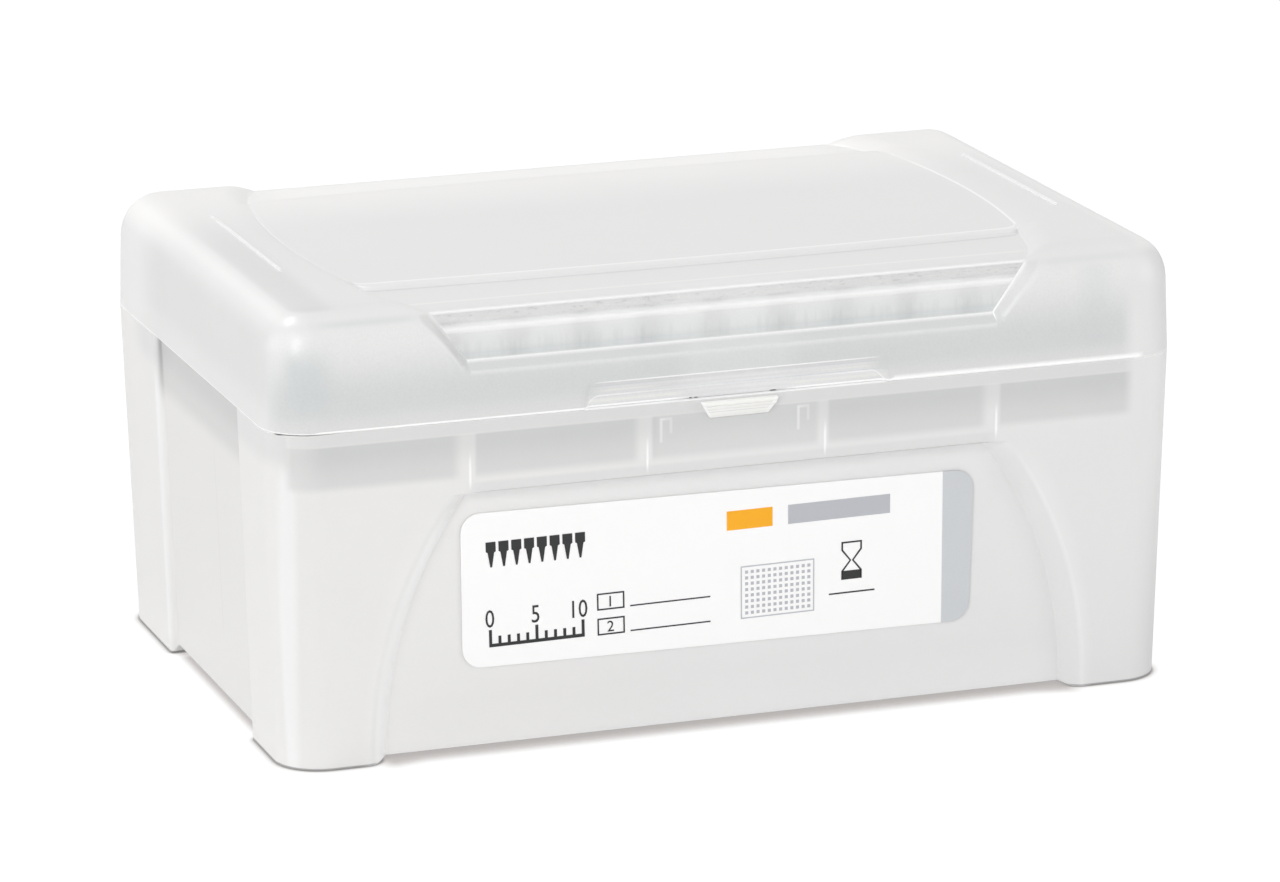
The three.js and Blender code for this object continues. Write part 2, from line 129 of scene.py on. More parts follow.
# Tips.
PITCH = 9
COLUMNS = 12
ROWS = "HGFEDCBA"
TIP_TOP = 56.6
TIP_FOOT = 25.1
TIP_STEPS = 24  # round the turned shape
COLLAR_FOOT = 46.5

# Label.
LABEL_FACE = -38.92  # a hair in front of the paper, before the draft
LABEL_TURN = 0.009
LABEL_MIDDLE = (-1.8, 21.25)
INK_BACK = 0.04  # how far the ink reaches into the paper
INK_DEPTH = 0.06


# ---- Mesh helpers ----

# Besides the window's pane, the point layers mark painted highlights along edges and painted shade
# beside them.
MARK_NAMES = ("pane", "edge", "painted_shade")  # point layers that the finishes read


def clamp(value, most=1):
    return min(max(value, 0), most)


def ease(t):
    return t * t * (3 - 2 * t)


def marked(bm):
    for name in MARK_NAMES:
        bm.verts.layers.float.new(name)
    return bm


def sheet(columns, rows, place, marks, flip):
    """A grid of faces with each point where place(column, row) puts it. marks(column, row) gives
    the values of the named point layers."""
    bm = marked(bmesh.new())
    layers = bm.verts.layers.float
    bmesh.ops.create_grid(bm, x_segments=columns, y_segments=rows, size=0.5)
    for v in bm.verts:
        column = round((v.co.x + 0.5) * columns)
        row = round((v.co.y + 0.5) * rows)
        v.co = place(column, row)
        for name, value in marks(column, row).items():
            v[layers[name]] = value
    if flip:
        bmesh.ops.reverse_faces(bm, faces=bm.faces[:])
    return bm


def take_in(bm, *others):
    """Adds the shapes of others to bm."""
    for other in others:
        mesh = bpy.data.meshes.new("part")
        other.to_mesh(mesh)
        other.free()
        bm.from_mesh(mesh)
        bpy.data.meshes.remove(mesh)
    return bm


def draw_out(bm, faces, step):
    """Turns flat faces into a solid by drawing them out."""
    grown = bmesh.ops.extrude_face_region(bm, geom=faces)["geom"]
    verts = [g for g in grown if isinstance(g, bmesh.types.BMVert)]
    bmesh.ops.translate(bm, vec=step, verts=verts)
    bmesh.ops.recalc_face_normals(bm, faces=bm.faces[:])


def solid_of(outline, axis, start, end, soft=0.0, steps=2):
    """A flat outline drawn out along an axis, with its edges rounded by soft. An outline for the X
    axis gives Y and Z, one for Y gives X and Z, and one for Z gives X and Y."""
    bm = marked(bmesh.new())
    others = [i for i in range(3) if i != axis]
    verts = []
    for a, b in outline:
        co = Vector((0, 0, 0))
        co[others[0]], co[others[1]], co[axis] = a, b, start
        verts.append(bm.verts.new(co))
    step = Vector((0, 0, 0))
    step[axis] = end - start
    draw_out(bm, [bm.faces.new(verts)], step)
    if soft:
        sharp = [e for e in bm.edges if e.calc_face_angle(0) > math.radians(30)]
        round_off(bm, sharp, soft, steps)
    return bm


def round_off(bm, edges, width, steps):
    bmesh.ops.bevel(
        bm,
        geom=edges,
        offset=width,
        offset_type="OFFSET",
        segments=steps,
        profile=0.5,
        affect="EDGES",
        material=-1,
        clamp_overlap=True,
    )


def rectangle(left, right, low, high):
    return [(left, low), (right, low), (right, high), (left, high)]


def arc(centre, radius, start, end, steps):
    """Points on an arc, from one angle to another, in degrees."""
    angles = [math.radians(start + (end - start) * i / steps) for i in range(steps + 1)]
    x, y = centre
    return [(x + radius * math.cos(angle), y + radius * math.sin(angle)) for angle in angles]


def both_ways(make, *places):
    """A part made at each place, and again on the other side of the middle."""
    return [make(sign * place) for place in places for sign in (1, -1)]


def drafted(bm, scale_at):
    """Draws the plan in with height, as the draft of a mould does."""
    for v in bm.verts:
        v.co.xy *= scale_at(v.co.z)


def base_scale(z):
    return 1 - BASE_DRAFT * max(0.0, SEAM - z)


def lid_scale(z):
    return 1 - LID_DRAFT * max(0.0, z - SEAM)


def finished(name, bm, body, material, crease=35):
    """Puts a shape in its place, gives it its finish and lets it ride on a body."""
    bmesh.ops.transform(bm, matrix=TO_PLACE, verts=bm.verts[:])
    mesh = bpy.data.meshes.new(name)
    bm.to_mesh(mesh)
    bm.free()
    mesh.shade_smooth()
    mesh.set_sharp_from_angle(angle=math.radians(crease))
    mesh.materials.append(material)
    made = bpy.data.objects.new(name, mesh)
    bpy.context.scene.collection.objects.link(made)
    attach(made, body)
    return made


# ---- Nodes ----


def plug(socket, value):
    value = getattr(value, "socket", value)
    if isinstance(value, bpy.types.NodeSocket):
        socket.id_data.links.new(value, socket)
    else:
        socket.default_value = value


def node(tree, kind, inputs=None, **settings):
    made = tree.nodes.new(kind)
    for name, value in settings.items():
        setattr(made, name, value)
    for name, value in (inputs or {}).items():
        plug(made.inputs[name], value)
    return made


class Value:
    """A number, place or colour that nodes work out. Arithmetic with it makes more nodes, and
    a | b is the larger of the two."""

    def __init__(self, socket):
        self.socket = socket

    def feed(self, kind, inputs, output=0, **settings):
        """An output of a new node in this value's tree."""
        return from_node(self.socket.id_data, kind, output, inputs, **settings)

    def __add__(self, other):
        return maths("ADD", self, other)

    def __sub__(self, other):
        return maths("SUBTRACT", self, other)

    def __rsub__(self, other):
        return maths("SUBTRACT", other, self)

    def __mul__(self, other):
        return maths("MULTIPLY", self, other)

    def __truediv__(self, other):
        return maths("DIVIDE", self, other)

    def __rtruediv__(self, other):
        return maths("DIVIDE", other, self)

    def __or__(self, other):
        return maths("MAXIMUM", self, other)

    def __abs__(self):
        return maths("ABSOLUTE", self)

    def scaled(self, share, start):
        return maths("MULTIPLY_ADD", self, share, start)

    def ramp(self, start, end, low=0.0, high=1.0):
        """Smoothly from low at start to high at end, and flat beyond."""
        inputs = {"Value": self, "From Min": start, "From Max": end, "To Min": low, "To Max": high}
        return self.feed("ShaderNodeMapRange", inputs, "Result", interpolation_type="SMOOTHSTEP")

    def fall(self, start, end, low=0.0):
        """Smoothly from 1 at start to low at end."""
        return self.ramp(start, end, 1, low)

    def strip(self, low, high, soft):
        """1 between low and high, 0 beyond, over a soft edge centred on each."""
        half = soft / 2
        return self.ramp(low - half, low + half) * self.fall(high - half, high + half)

    def block(self, middle, half, soft):
        """1 up to half from the middle, 0 beyond, over a soft edge."""
        return ((abs(self - middle) - half) / soft).fall(-0.5, 0.5)

    def noise(self, **inputs):
        """Noise between 0 and 1 at this place."""
        return self.feed("ShaderNodeTexNoise", {"Vector": self, **inputs})

    def stretched(self, scale):
        return self.feed("ShaderNodeMapping", {"Vector": self, "Scale": scale})


def from_node(tree, kind, output, inputs=None, **settings):
    """An output of a new node, as a value."""
    return Value(node(tree, kind, inputs, **settings).outputs[output])


def maths(operation, *values, clamped=False):
    first = next(value for value in values if isinstance(value, Value))
    inputs = dict(enumerate(values))
    return first.feed("ShaderNodeMath", inputs, operation=operation, use_clamp=clamped)


def largest(values):
    return functools.reduce(operator.or_, values)


def blend(share, under, over):
    return share.feed("ShaderNodeMix", {0: share, 6: under, 7: over}, 2, data_type="RGBA")


def between(share, low, high):
    """The number low where share is 0, and high where it is 1."""
    return share.feed("ShaderNodeMix", {0: share, 2: low, 3: high}, 0, data_type="FLOAT")


def painted(colour, *coats):
    """A colour under coats of paint, each given as its mask and its colour."""
    for mask, over in coats:
        colour = blend(mask, colour, over)
    return colour


def shade(level, tint=(0, 0, 0)):
    """A colour as light as this level from 0 to 255 on a display, moved by a tint."""

    def linear(v):
        v = clamp(v / 255)
        return v / 12.92 if v <= 0.04045 else ((v + 0.055) / 1.055) ** 2.4

    return tuple(linear(level + t) for t in tint) + (1.0,)


COOL = (-2.5, 0.5, 0.8)
CLEAR = (-1.8, 0.6, 0.2)
WARM = (0.6, 0.2, -0.8)


def point_layer(tree, name):
    return from_node(tree, "ShaderNodeAttribute", "Fac", attribute_name=name)


def light_path(tree, name):
    return from_node(tree, "ShaderNodeLightPath", name)


def object_place(tree):
    return from_node(tree, "ShaderNodeTexCoord", "Object")


def millimetres(tree):
    """The place on a piece in the millimetres that its shape was drawn in: vector, X, Y and Z."""
    place = object_place(tree)
    inputs = {"Vector": place, "Scale": (1 / MM,) * 3, "Location": (0, -MIDDLE_Y / MM, 0)}
    centred = place.feed("ShaderNodeMapping", inputs)
    split = node(tree, "ShaderNodeSeparateXYZ", {"Vector": centred}).outputs
    return centred, *(Value(socket) for socket in split)


def make_cloudiness():
    """Uneven milkiness of moulded plastic: broad clouds, flow streaks and a fine grain."""
    tree = bpy.data.node_groups.new("moulded_cloudiness", "ShaderNodeTree")
    for label, kind, default in (
        ("Place", "NodeSocketVector", (0, 0, 0)),
        ("Cloud Size", "NodeSocketFloat", 18.0),
        ("Grain Size", "NodeSocketFloat", 0.35),
    ):
        socket = tree.interface.new_socket(label, in_out="INPUT", socket_type=kind)
        socket.default_value = default
    for label in ("Clouds", "Grain", "Bumps"):
        tree.interface.new_socket(label, in_out="OUTPUT", socket_type="NodeSocketFloat")
    given = tree.nodes.new("NodeGroupInput").outputs
    place, cloud_size, grain_size = (Value(given[i]) for i in range(3))
    broad = place.noise(Scale=1.0 / cloud_size, Detail=3.0, Roughness=0.55)
    fine = place.noise(Scale=1.0 / grain_size, Detail=2.0, Roughness=0.5)
    ripple = place.noise(Scale=0.35, Detail=2.0, Roughness=0.4)
    found = {"Clouds": broad - 0.5, "Grain": fine - 0.5, "Bumps": fine.scaled(0.12, ripple)}
    node(tree, "NodeGroupOutput", found)
    return tree


CLOUDINESS = make_cloudiness()


def new_material(name):
    material = bpy.data.materials.new(name)
    material.use_nodes = True
    tree = material.node_tree
    tree.nodes.clear()
    shader = tree.nodes.new("ShaderNodeBsdfPrincipled")
    output = node(tree, "ShaderNodeOutputMaterial", {"Surface": shader.outputs[0]})
    return material, tree, shader, output


def brightened(colour, amount):
    """A colour made lighter or darker by a small share that may vary over the surface."""
    inputs = {0: colour, "Scale": amount + 1.0}
    return amount.feed("ShaderNodeVectorMath", inputs, operation="SCALE")


def mixed_shader(share, first, second):
    inputs = {0: share, 1: first.outputs[0], 2: second.outputs[0]}
    return share.feed("ShaderNodeMixShader", inputs)


class Finish:
    """A material of moulded plastic, paper or ink, with the places and noises to paint it by."""

    def __init__(self, name, cloud_size, grain_size):
        self.material, self.tree, self.shader, self.output = new_material(name)
        self.place, self.x, self.y, self.z = millimetres(self.tree)
        inputs = {"Place": self.place, "Cloud Size": cloud_size, "Grain Size": grain_size}
        cloudy = node(self.tree, "ShaderNodeGroup", inputs, node_tree=CLOUDINESS).outputs
        self.clouds, self.grain, self.bumps = (Value(socket) for socket in cloudy)

    def coat(self, colour, varied, roughness):
        """Gives the surface its colour, lighter and darker as varied says, and its roughness."""
        plug(self.shader.inputs["Base Color"], brightened(colour, varied))
        plug(self.shader.inputs["Roughness"], roughness)

    def emboss(self, height, strength, distance=0.0004):
        inputs = {"Height": height, "Strength": strength, "Distance": distance}
        plug(self.shader.inputs["Normal"], height.feed("ShaderNodeBump", inputs))


# ---- Finishes ----
# Numbers are places in millimetres, and the name of each mask says what it covers.


def milky_finish():
    """Satin milky plastic of the base, with painted light and shade. Thin wall backed by air shows
    darker under the rim, as painted shade.
    """
    made = Finish("milky_plastic", 22.0, 0.5)
    x, y, z = made.x, made.y, made.z
    across = abs(x + 0.14)
    on_long_walls = abs(y).ramp(38, 39.2)
    on_ends = abs(x).ramp(60, 60.6)

    # Painted shade: the dark room between each pair of ribs, seen through the wall under the rim,
    # with a shaded band above.
    left_end = x.ramp(-60.9, -59.6).scaled(0.65, x.ramp(-59.6, -55, 0, 0.35))
    along = left_end * x.fall(54, 56) * on_long_walls
    ribs = ((-39.2, -37.2, -36.0), (-14.7, -13.2, -12.1), (10.4, 11.5, 12.2), (33.4, 35.2, 36.3))
    rib_shade = largest(
        x.ramp(start, full) * x.fall(edge, edge + 0.6) for start, full, edge in ribs
    )
    rib_shade = rib_shade * z.fall(38, 42.5, 0.5)
    room_height = z.fall(43, 43.5) * z.ramp(36.9, 38.3)
    shaded_rooms = along * (1 - rib_shade) * room_height * across.ramp(10.5, 11.5, 0.85, 1)
    room_shade_colour = blend(z.ramp(38, 42.4), shade(214), shade(204, (-1, 0.5, 0)))
    rim_shade_band = along * z.ramp(43.1, 43.5)

    # Painted highlights: thin bright lines where a rib's edge meets the wall; and the slots of the
    # tray's clips.
    rib_edges = largest(x.strip(at - 0.13, at + 0.13, 0.25) for at in (-12.45, -36.45, 12.05, 36.1))
    rib_highlight = rib_edges * z.ramp(35.4, 37.2) * z.fall(38.6, 41) * y.fall(-39.5, -38)
    slots = []
    for middle in (-9.9, 9.0):
        whole = x.block(middle, 0.85, 0.25) * z.block(41.25, 1.65, 0.25)
        hollow = x.block(middle, 0.5, 0.25) * z.block(40.05, 2.5, 0.25)
        short_leg = x.ramp(middle, middle + 0.3) * z.fall(40.6, 41)
        left = maths("SUBTRACT", whole, hollow | short_leg, clamped=True)
        slots.append(left * x.fall(middle - 0.6, middle + 0.2, 0.6))
    slot = largest(slots) * on_long_walls * 0.85

    in_recess = y.strip(SIDE_FRONT, SIDE_BACK, 1)
    # Painted shade of the rooms seen through the ends, under the rim.
    end_room_shade = z.ramp(35.6, 38.8).scaled(0.62, z.ramp(39, 43, 0, 0.38))
    gate_line = on_ends * y.strip(-7.7, -7.5, 0.3) * z.strip(10, 34, 6)
    # Painted shade down the rear edge of the end recess.
    recess_edge_shade = on_ends * y.strip(SIDE_BACK - 0.4, SIDE_BACK - 0.1, 0.5) * z.ramp(34, 44)
    over_recess = on_long_walls * across.fall(35, 37) * z.strip(35.2, 36.7, 0.6)
    # Painted shadow: a thin dark line under the recess's roof.
    roof_shadow_line = on_long_walls * across.fall(34, 36) * z.strip(35, 35.4, 0.2)
    # Painted shade under the rim of the ends, carried round the front left corner.
    end_rim_shade = on_ends * z.ramp(39.5, 42.5) * y.fall(22, 30)
    corner_rim_shade = x.ramp(-61.8, -62.3) * y.ramp(-37.5, -38.5) * z.ramp(44, 43.5)
    # Painted highlights down the front left corner, at the rear edge of the end recess and on the
    # right corner.
    corner_highlight = x.strip(-61.2, -59.4, 1.1) * y.ramp(-36.5, -37.5) * z.ramp(41.5, 38)
    side_highlight = on_ends * y.strip(17.4, 18.3, 0.8) * z.ramp(41, 38) * z.ramp(1, 3)
    lit_right_corner = x.ramp(56.5, 60.5) * z.ramp(14, 34)

    # The thumb ledge with painted light on its rim, and a painted shadow: the dark slit at the left
    # end of the seam.
    on_ledge = y.ramp(-40.85, -40.95) * across.fall(7, 7.5)
    ledge_lines = z.strip(43.15, 43.28, 0.1) | z.strip(43.95, 44.06, 0.1)
    ledge_lines = ledge_lines | z.strip(43.5, 43.58, 0.08) * 0.6
    lit_ledge_rim = z.ramp(42.62, 42.5) | z.scaled(-0.6, across).ramp(-21.9, -21.75)
    ledge_colour = blend(ledge_lines, shade(246, (0, 0, -3)), shade(229, (0, 0, -1)))
    ledge_colour = blend(lit_ledge_rim * 0.7, ledge_colour, shade(253))
    slit = z.ramp(44.88, 44.92) * x.ramp(-54, -59, 0.6, 1)
    slit = slit | z.ramp(44.76, 44.84) * x.fall(-61.4, -60.4)
    slit = slit * x.fall(-58, -51) * y.fall(-38.6, -37.6)

    colour = painted(
        blend(x.fall(-50, 20), shade(229), shade(231, WARM)),
        (over_recess, shade(223)),
        (roof_shadow_line * 0.8, shade(188)),
        (end_rim_shade, shade(222)),
        (on_ends * x.ramp(0, -1) * in_recess * 0.9, shade(226, WARM)),
        (corner_rim_shade, shade(224)),
        (corner_highlight | side_highlight, shade(239)),
        (lit_right_corner * 0.9, shade(237)),
        # painted contact shadow along the foot's bottom edge
        (z.ramp(0.4, 0.22) * 0.85, shade(150)),
        (shaded_rooms, room_shade_colour),
        (rim_shade_band, shade(219)),
        (slot, shade(231)),
        (on_ends * in_recess * end_room_shade, shade(201)),
        (gate_line * 0.25, shade(190)),
        (recess_edge_shade * 0.7, shade(120)),
        # painted highlights from the edge marks and rib lines, then painted light lifting the rim's
        # shade under the grip
        (point_layer(made.tree, "edge") | rib_highlight, shade(254)),
        (z.ramp(44.86, 44.92) * across.fall(20.5, 21), shade(250)),
        (on_ledge, ledge_colour),
        (slit, shade(70)),
    )
    made.coat(colour, made.clouds.scaled(0.035, made.grain * 0.02), made.clouds.scaled(0.12, 0.36))
    made.emboss(made.bumps, 0.06)
    return made.material


def outline_of_flat(across, z):
    """The thin painted highlight round the flat at the foot of the grip, whose sides lean in."""
    past_side = across + (z - 45.0) * 0.93 - 20.1
    past_top = z - 45.85
    squares = [maths("POWER", past | 0.0, 2.0) for past in (past_side, past_top)]
    reach = maths("SQRT", squares[0] + squares[1])
    return abs(reach - 0.6).fall(0.05, 0.14)


def frosted_finish():
    """Frosted plastic of the lid, clearer in the window, with painted light and shade. Lamps reach
    the inside through it.
    """
    made = Finish("frosted_plastic", 16.0, 0.3)
    place, x, y, z = made.place, made.x, made.y, made.z
    across = abs(x)
    on_long_walls = abs(y).ramp(35, 39) * z.fall(57.2, 58.6)
    on_long_walls = on_long_walls * (across.fall(53.5, 56) | x.fall(-53, -50))
    # Painted shade: darker patches near the ends, where the dark inside shows through the frosted
    # wall.
    left_dark_patch = x.ramp(-61, -59.2) * x.fall(-57.5, -53) * z.ramp(46.5, 50)
    left_dark_patch = left_dark_patch * z.fall(53, 57.5)
    right_dark_patch = x.ramp(46.6, 49.8) * x.fall(50.6, 54) * z.ramp(46.5, 48.5)
    right_dark_patch = right_dark_patch * z.fall(57.3, 59, 0.55)
    on_grip = across.fall(20.2, 21.1) * z.fall(48.3, 48.5)
    grip_fade = (across + z.ramp(46.4, 46.6, -2, 0)).fall(17, 20.8)
    streaks = place.stretched((0.04, 1.0, 1.7)).noise(Scale=1.0, Detail=2.0)
    cream_bands = z.strip(45.5, 46, 0.2) * across.ramp(6, 9)
    cream_bands = cream_bands | z.strip(47, 47.3, 0.2) * across.ramp(9, 14)
    grip_lines = (
        z.strip(47.8, 47.92, 0.12) * across.ramp(2, 16, 0.15, 0.8)
        | z.strip(46.62, 46.72, 0.1) * x.ramp(-18, 10, 0.1, 0.7)
        | z.strip(45.55, 45.62, 0.1) * 0.4
    )
    grip_colour = painted(
        blend(streaks.ramp(0.36, 0.64), shade(219, (0, 0, 1)), shade(227, (0, 0, 1))),
        (cream_bands * 0.8, shade(232, (0, 0, -3))),
        (grip_lines, shade(208, (-6, 0, 4))),
    )
    # Painted highlight round the flat at the foot of the grip.
    flat_highlight = outline_of_flat(across, z) * on_grip * across.ramp(8, 17, 0.15, 0.65)
    # Painted shade: the long walls are darker where the dark inside shows through, and lighter
    # towards the top.
    shaded_wall_colour = painted(
        blend(z.ramp(45.1, 48.2), shade(220), shade(212.5, CLEAR)),
        (z.ramp(49, 57), shade(231)),
        ((left_dark_patch * 0.8 | right_dark_patch * 0.32) * 0.8, shade(207, (-4, 1, 2))),
        (on_grip * grip_fade, grip_colour),
        (flat_highlight, shade(250)),
    )

    # Painted light and shade on the top: lighter towards the rear and on the strip behind the
    # plateau, and a shaded crease over the front wall.
    lit_rear_strip = y.ramp(29.6, 30.4) * across.fall(37, 46)
    crease = y.ramp(-36, -38.5) * z.strip(58.3, 59, 0.7) * across.ramp(41, 45)
    crease = crease * across.fall(53, 58, 0.2) * x.ramp(-40, 40, 0.5, 0.3)
    warm_line = y.strip(-34.6, -34, 0.5) * across.fall(41, 44)
    on_ends = across.ramp(57.5, 60.5)
    # Painted shade on the end walls, lighter towards the rear.
    end_shade_colour = blend(z.ramp(46, 50.5), shade(226), shade(219))
    end_shade_colour = blend(y.ramp(14, 28), end_shade_colour, shade(231))
    # Painted shade on the left shoulder, and a painted highlight along the right shoulder's edge.
    shaded_left_shoulder = x.ramp(-52, -55) * z.ramp(59.9, 60.25) * y.ramp(20, -5)
    right_brow_highlight = x.ramp(56, 58.5) * z.ramp(58.5, 59.8)
    top_scale = lid_scale(SHOULDER_TOP)
    from_rib = maths("MINIMUM", *(abs(x - at * top_scale) for at in RIB_X))
    rib_lit = from_rib.fall(RIB_HALF, 0.24) * z.ramp(60.3, 60.42)
    rib_lit = rib_lit * y.strip(RIB_FRONT, RIB_BACK, 0.3)
    top_colour = painted(
        blend(y.ramp(6, 30), shade(229), shade(240, WARM)),
        (lit_rear_strip, shade(247, WARM)),
        (crease, shade(212, COOL)),
        (warm_line * 0.5, shade(246, WARM)),
        (on_ends * z.fall(57, 59) * y.ramp(-39, -36), end_shade_colour),
        # painted highlight along the top edges of the ends
        (on_ends * z.strip(59, 60, 1.4) * 0.45, shade(252, WARM)),
        (shaded_left_shoulder, shade(219)),
        (right_brow_highlight * 0.8, shade(240, WARM)),
        (rib_lit, shade(243)),
    )

    pane = point_layer(made.tree, "pane")
    top_of_pane = z.ramp(57, 57.8)
    # Painted highlight: a bright band across the window.
    pane_highlight_band = z.ramp(55, 56.6) * z.fall(56.6, 57.4)
    low_of_pane = z.fall(53.1, 54)
    fine_streaks = place.stretched((1.3, 1.0, 0.1)).noise(Scale=1.0, Detail=1.0)
    smears = place.stretched((0.9, 1.0, 3.2)).noise(Scale=1.0, Detail=3.0, Roughness=0.7)
    in_pane = painted(
        blend(low_of_pane, shade(246, (-1, 0, 0)), shade(237, COOL)),
        (fine_streaks.ramp(0.45, 0.7) * z.ramp(55.5, 54) * 0.4, shade(222, COOL)),
        (pane_highlight_band, shade(251)),
        (top_of_pane, shade(223)),
        (top_of_pane * smears.ramp(0.55, 0.68) * 0.8, shade(200)),
        (top_of_pane * smears.ramp(0.42, 0.3) * 0.5, shade(240)),
    )
    # Painted shadows: small dark spots in the seam's gaps beside the ledge.
    gap_shadow_spots = x.strip(-6.45, -6.1, 0.2) | x.strip(-5.75, -5.3, 0.2) * 0.8 | x.strip(4.7, 5.5, 0.4)
    colour = painted(
        blend(on_long_walls, top_colour, shaded_wall_colour),
        (pane, in_pane),
        # painted shade and painted highlights from the point layers
        (point_layer(made.tree, "painted_shade"), shade(205)),
        (point_layer(made.tree, "edge"), shade(255)),
        (gap_shadow_spots * z.ramp(45.14, 45.08) * y.ramp(-38, -39), shade(50)),
    )
    grain = made.grain * on_long_walls.scaled(0.07, 0.03)
    roughness = pane.scaled(-0.2, made.clouds.scaled(0.1, 0.3))
    made.coat(colour, made.clouds.scaled(0.05, grain), roughness)
    made.emboss(made.bumps, 0.08)
    haze = pane_highlight_band * 0.85 | top_of_pane * 0.85 | low_of_pane * 0.57 | 0.54
    plug(made.shader.inputs["Alpha"], between(pane, 1.0, haze))

    through = node(made.tree, "ShaderNodeBsdfTransparent", {0: (0.92, 0.925, 0.925, 1)})
    in_shadow = light_path(made.tree, "Is Shadow Ray")
    plug(made.output.inputs["Surface"], mixed_shader(in_shadow, made.shader, through))
    return made.material


def tray_finish():
    made = Finish("tray_plastic", 14.0, 0.4)
    colour = blend(made.z.fall(38, 45.5), shade(232), shade(214, COOL))
    made.coat(colour, made.clouds * 0.05, made.grain.scaled(0.1, 0.4))
    made.emboss(made.bumps, 0.05)
    return made.material


def tip_finish():
    """Natural translucent plastic: lighter at the collar, darker and cooler down the stem."""
    made = Finish("tip_plastic", 3.0, 0.25)
    low = made.z.fall(COLLAR_FOOT - 1, TIP_TOP - 1.5)
    made.coat(
        blend(low, shade(240), shade(222, COOL)), made.clouds * 0.08, made.grain.scaled(0.1, 0.28)
    )
    made.emboss(made.grain, 0.03, 0.0002)
    return made.material


def label_finish():
    """Coated paper with a grey field at its right end."""
    made = Finish("label_paper", 6.0, 0.18)
    field = made.x.ramp(29.35, 29.45)
    speckle = made.grain * field.scaled(0.08, 0.012)
    colour = blend(field, shade(252), shade(206, (-2, 1, 4)))
    made.coat(colour, speckle, made.clouds.scaled(0.1, 0.55))
    made.emboss(made.grain, 0.03, 0.0001)
    return made.material


def ink_finish(name, level, tint):
    made = Finish(name, 2.0, 0.12)
    made.coat(shade(level, tint)[:3], made.grain * 0.12, made.clouds.scaled(0.1, 0.5))
    return made.material


MILKY = milky_finish()
FROSTED = frosted_finish()
TRAY = tray_finish()
TIP = tip_finish()
LABEL = label_finish()
BLACK_INK = ink_finish("black_ink", 38, (0, 1, 2))
GREY_INK = ink_finish("grey_ink", 188, (-2, 0, 6))
ORANGE_INK = ink_finish("orange_ink", 175, (75, 0, -160))


# ---- Shells with a ring of wall and a flat patch ----


def spread(zone, shares):
    return [(zone, t) for t in shares]


def mirrored(half):
    """Columns from one side to the other, from those that start in the middle."""
    return [(-1, zone, t) for zone, t in reversed(half[1:])] + [(1, zone, t) for zone, t in half]


def quarter_turn(*degrees):
    """How far a rounded edge has run in and up at each angle, as shares of its radius."""
    angles = [math.radians(turn) for turn in degrees]
    return [(1 - math.sin(angle), 1 - math.cos(angle)) for angle in angles]


class Shell:
    """One wall face of a shell: rows of rings round the box, closed by a patch across it.

    columns run along the front from left to right, and rows along the ends from front to rear.
    A subclass says where each lies at a level of the ring."""

    def __init__(self, columns, rows, levels, inner):
        self.columns, self.rows, self.levels, self.inner = columns, rows, levels, inner
        self.ring = []
        for quarter, (kind, along) in enumerate(
            (("front", columns), ("right", rows), ("rear", columns[::-1]), ("left", rows[::-1]))
        ):
            self.ring += [(kind, place) for place in along]
            self.ring += [("bend", quarter, i) for i in range(1, CORNER_STEPS)]

    def on_ring(self, index, level):
        kind, *what = self.ring[index % len(self.ring)]
        if kind in ("front", "rear"):
            return self.on_long_wall(kind, what[0], level)
        if kind in ("left", "right"):
            return self.on_end(kind, what[0], level)
        quarter, step = what
        end_x, end_y, radius, z = self.corner(level)
        angle = (quarter + step / CORNER_STEPS) * math.pi / 2
        sign_x, sign_y = ((1, -1), (1, 1), (-1, 1), (-1, -1))[quarter]
        x = sign_x * end_x + radius * math.sin(angle)
        return Vector((x, sign_y * end_y - radius * math.cos(angle), z))

    def build(self, patch_up):
        """The ring and the patch as one open sheet, facing outwards, or inwards if inner."""
        count = len(self.ring)
        bm = sheet(
            count,
            len(self.levels) - 1,
            lambda i, j: self.on_ring(i, self.levels[j]),
            lambda i, j: self.marks(self.ring[i % count], self.levels[j]),
            self.inner,
        )
        patch = sheet(
            len(self.columns) - 1,
            len(self.rows) - 1,
            lambda i, j: self.on_patch(self.columns[i], self.rows[j]),
            lambda i, j: self.patch_marks(self.columns[i], self.rows[j]),
            self.inner == patch_up,
        )
        take_in(bm, patch)
        bmesh.ops.remove_doubles(bm, verts=bm.verts[:], dist=1e-4)
        return bm

    def patch_marks(self, column, row):
        return {}


def closed_shell(outer, inner, patch_up):
    """Two faces of a wall joined at the rim."""
    bm = take_in(outer.build(patch_up), inner.build(patch_up))
    bmesh.ops.bridge_loops(bm, edges=[e for e in bm.edges if e.is_boundary])
    return bm


# ---- Base ----


def arc_side(z, foot, flare):
    """X of the recess's side at a height: an arc that is upright at the feet."""
    radius = (RECESS_TOP**2 + flare**2) / (2 * flare)
    return foot - radius + math.sqrt(radius**2 - clamp(z, RECESS_TOP) ** 2)


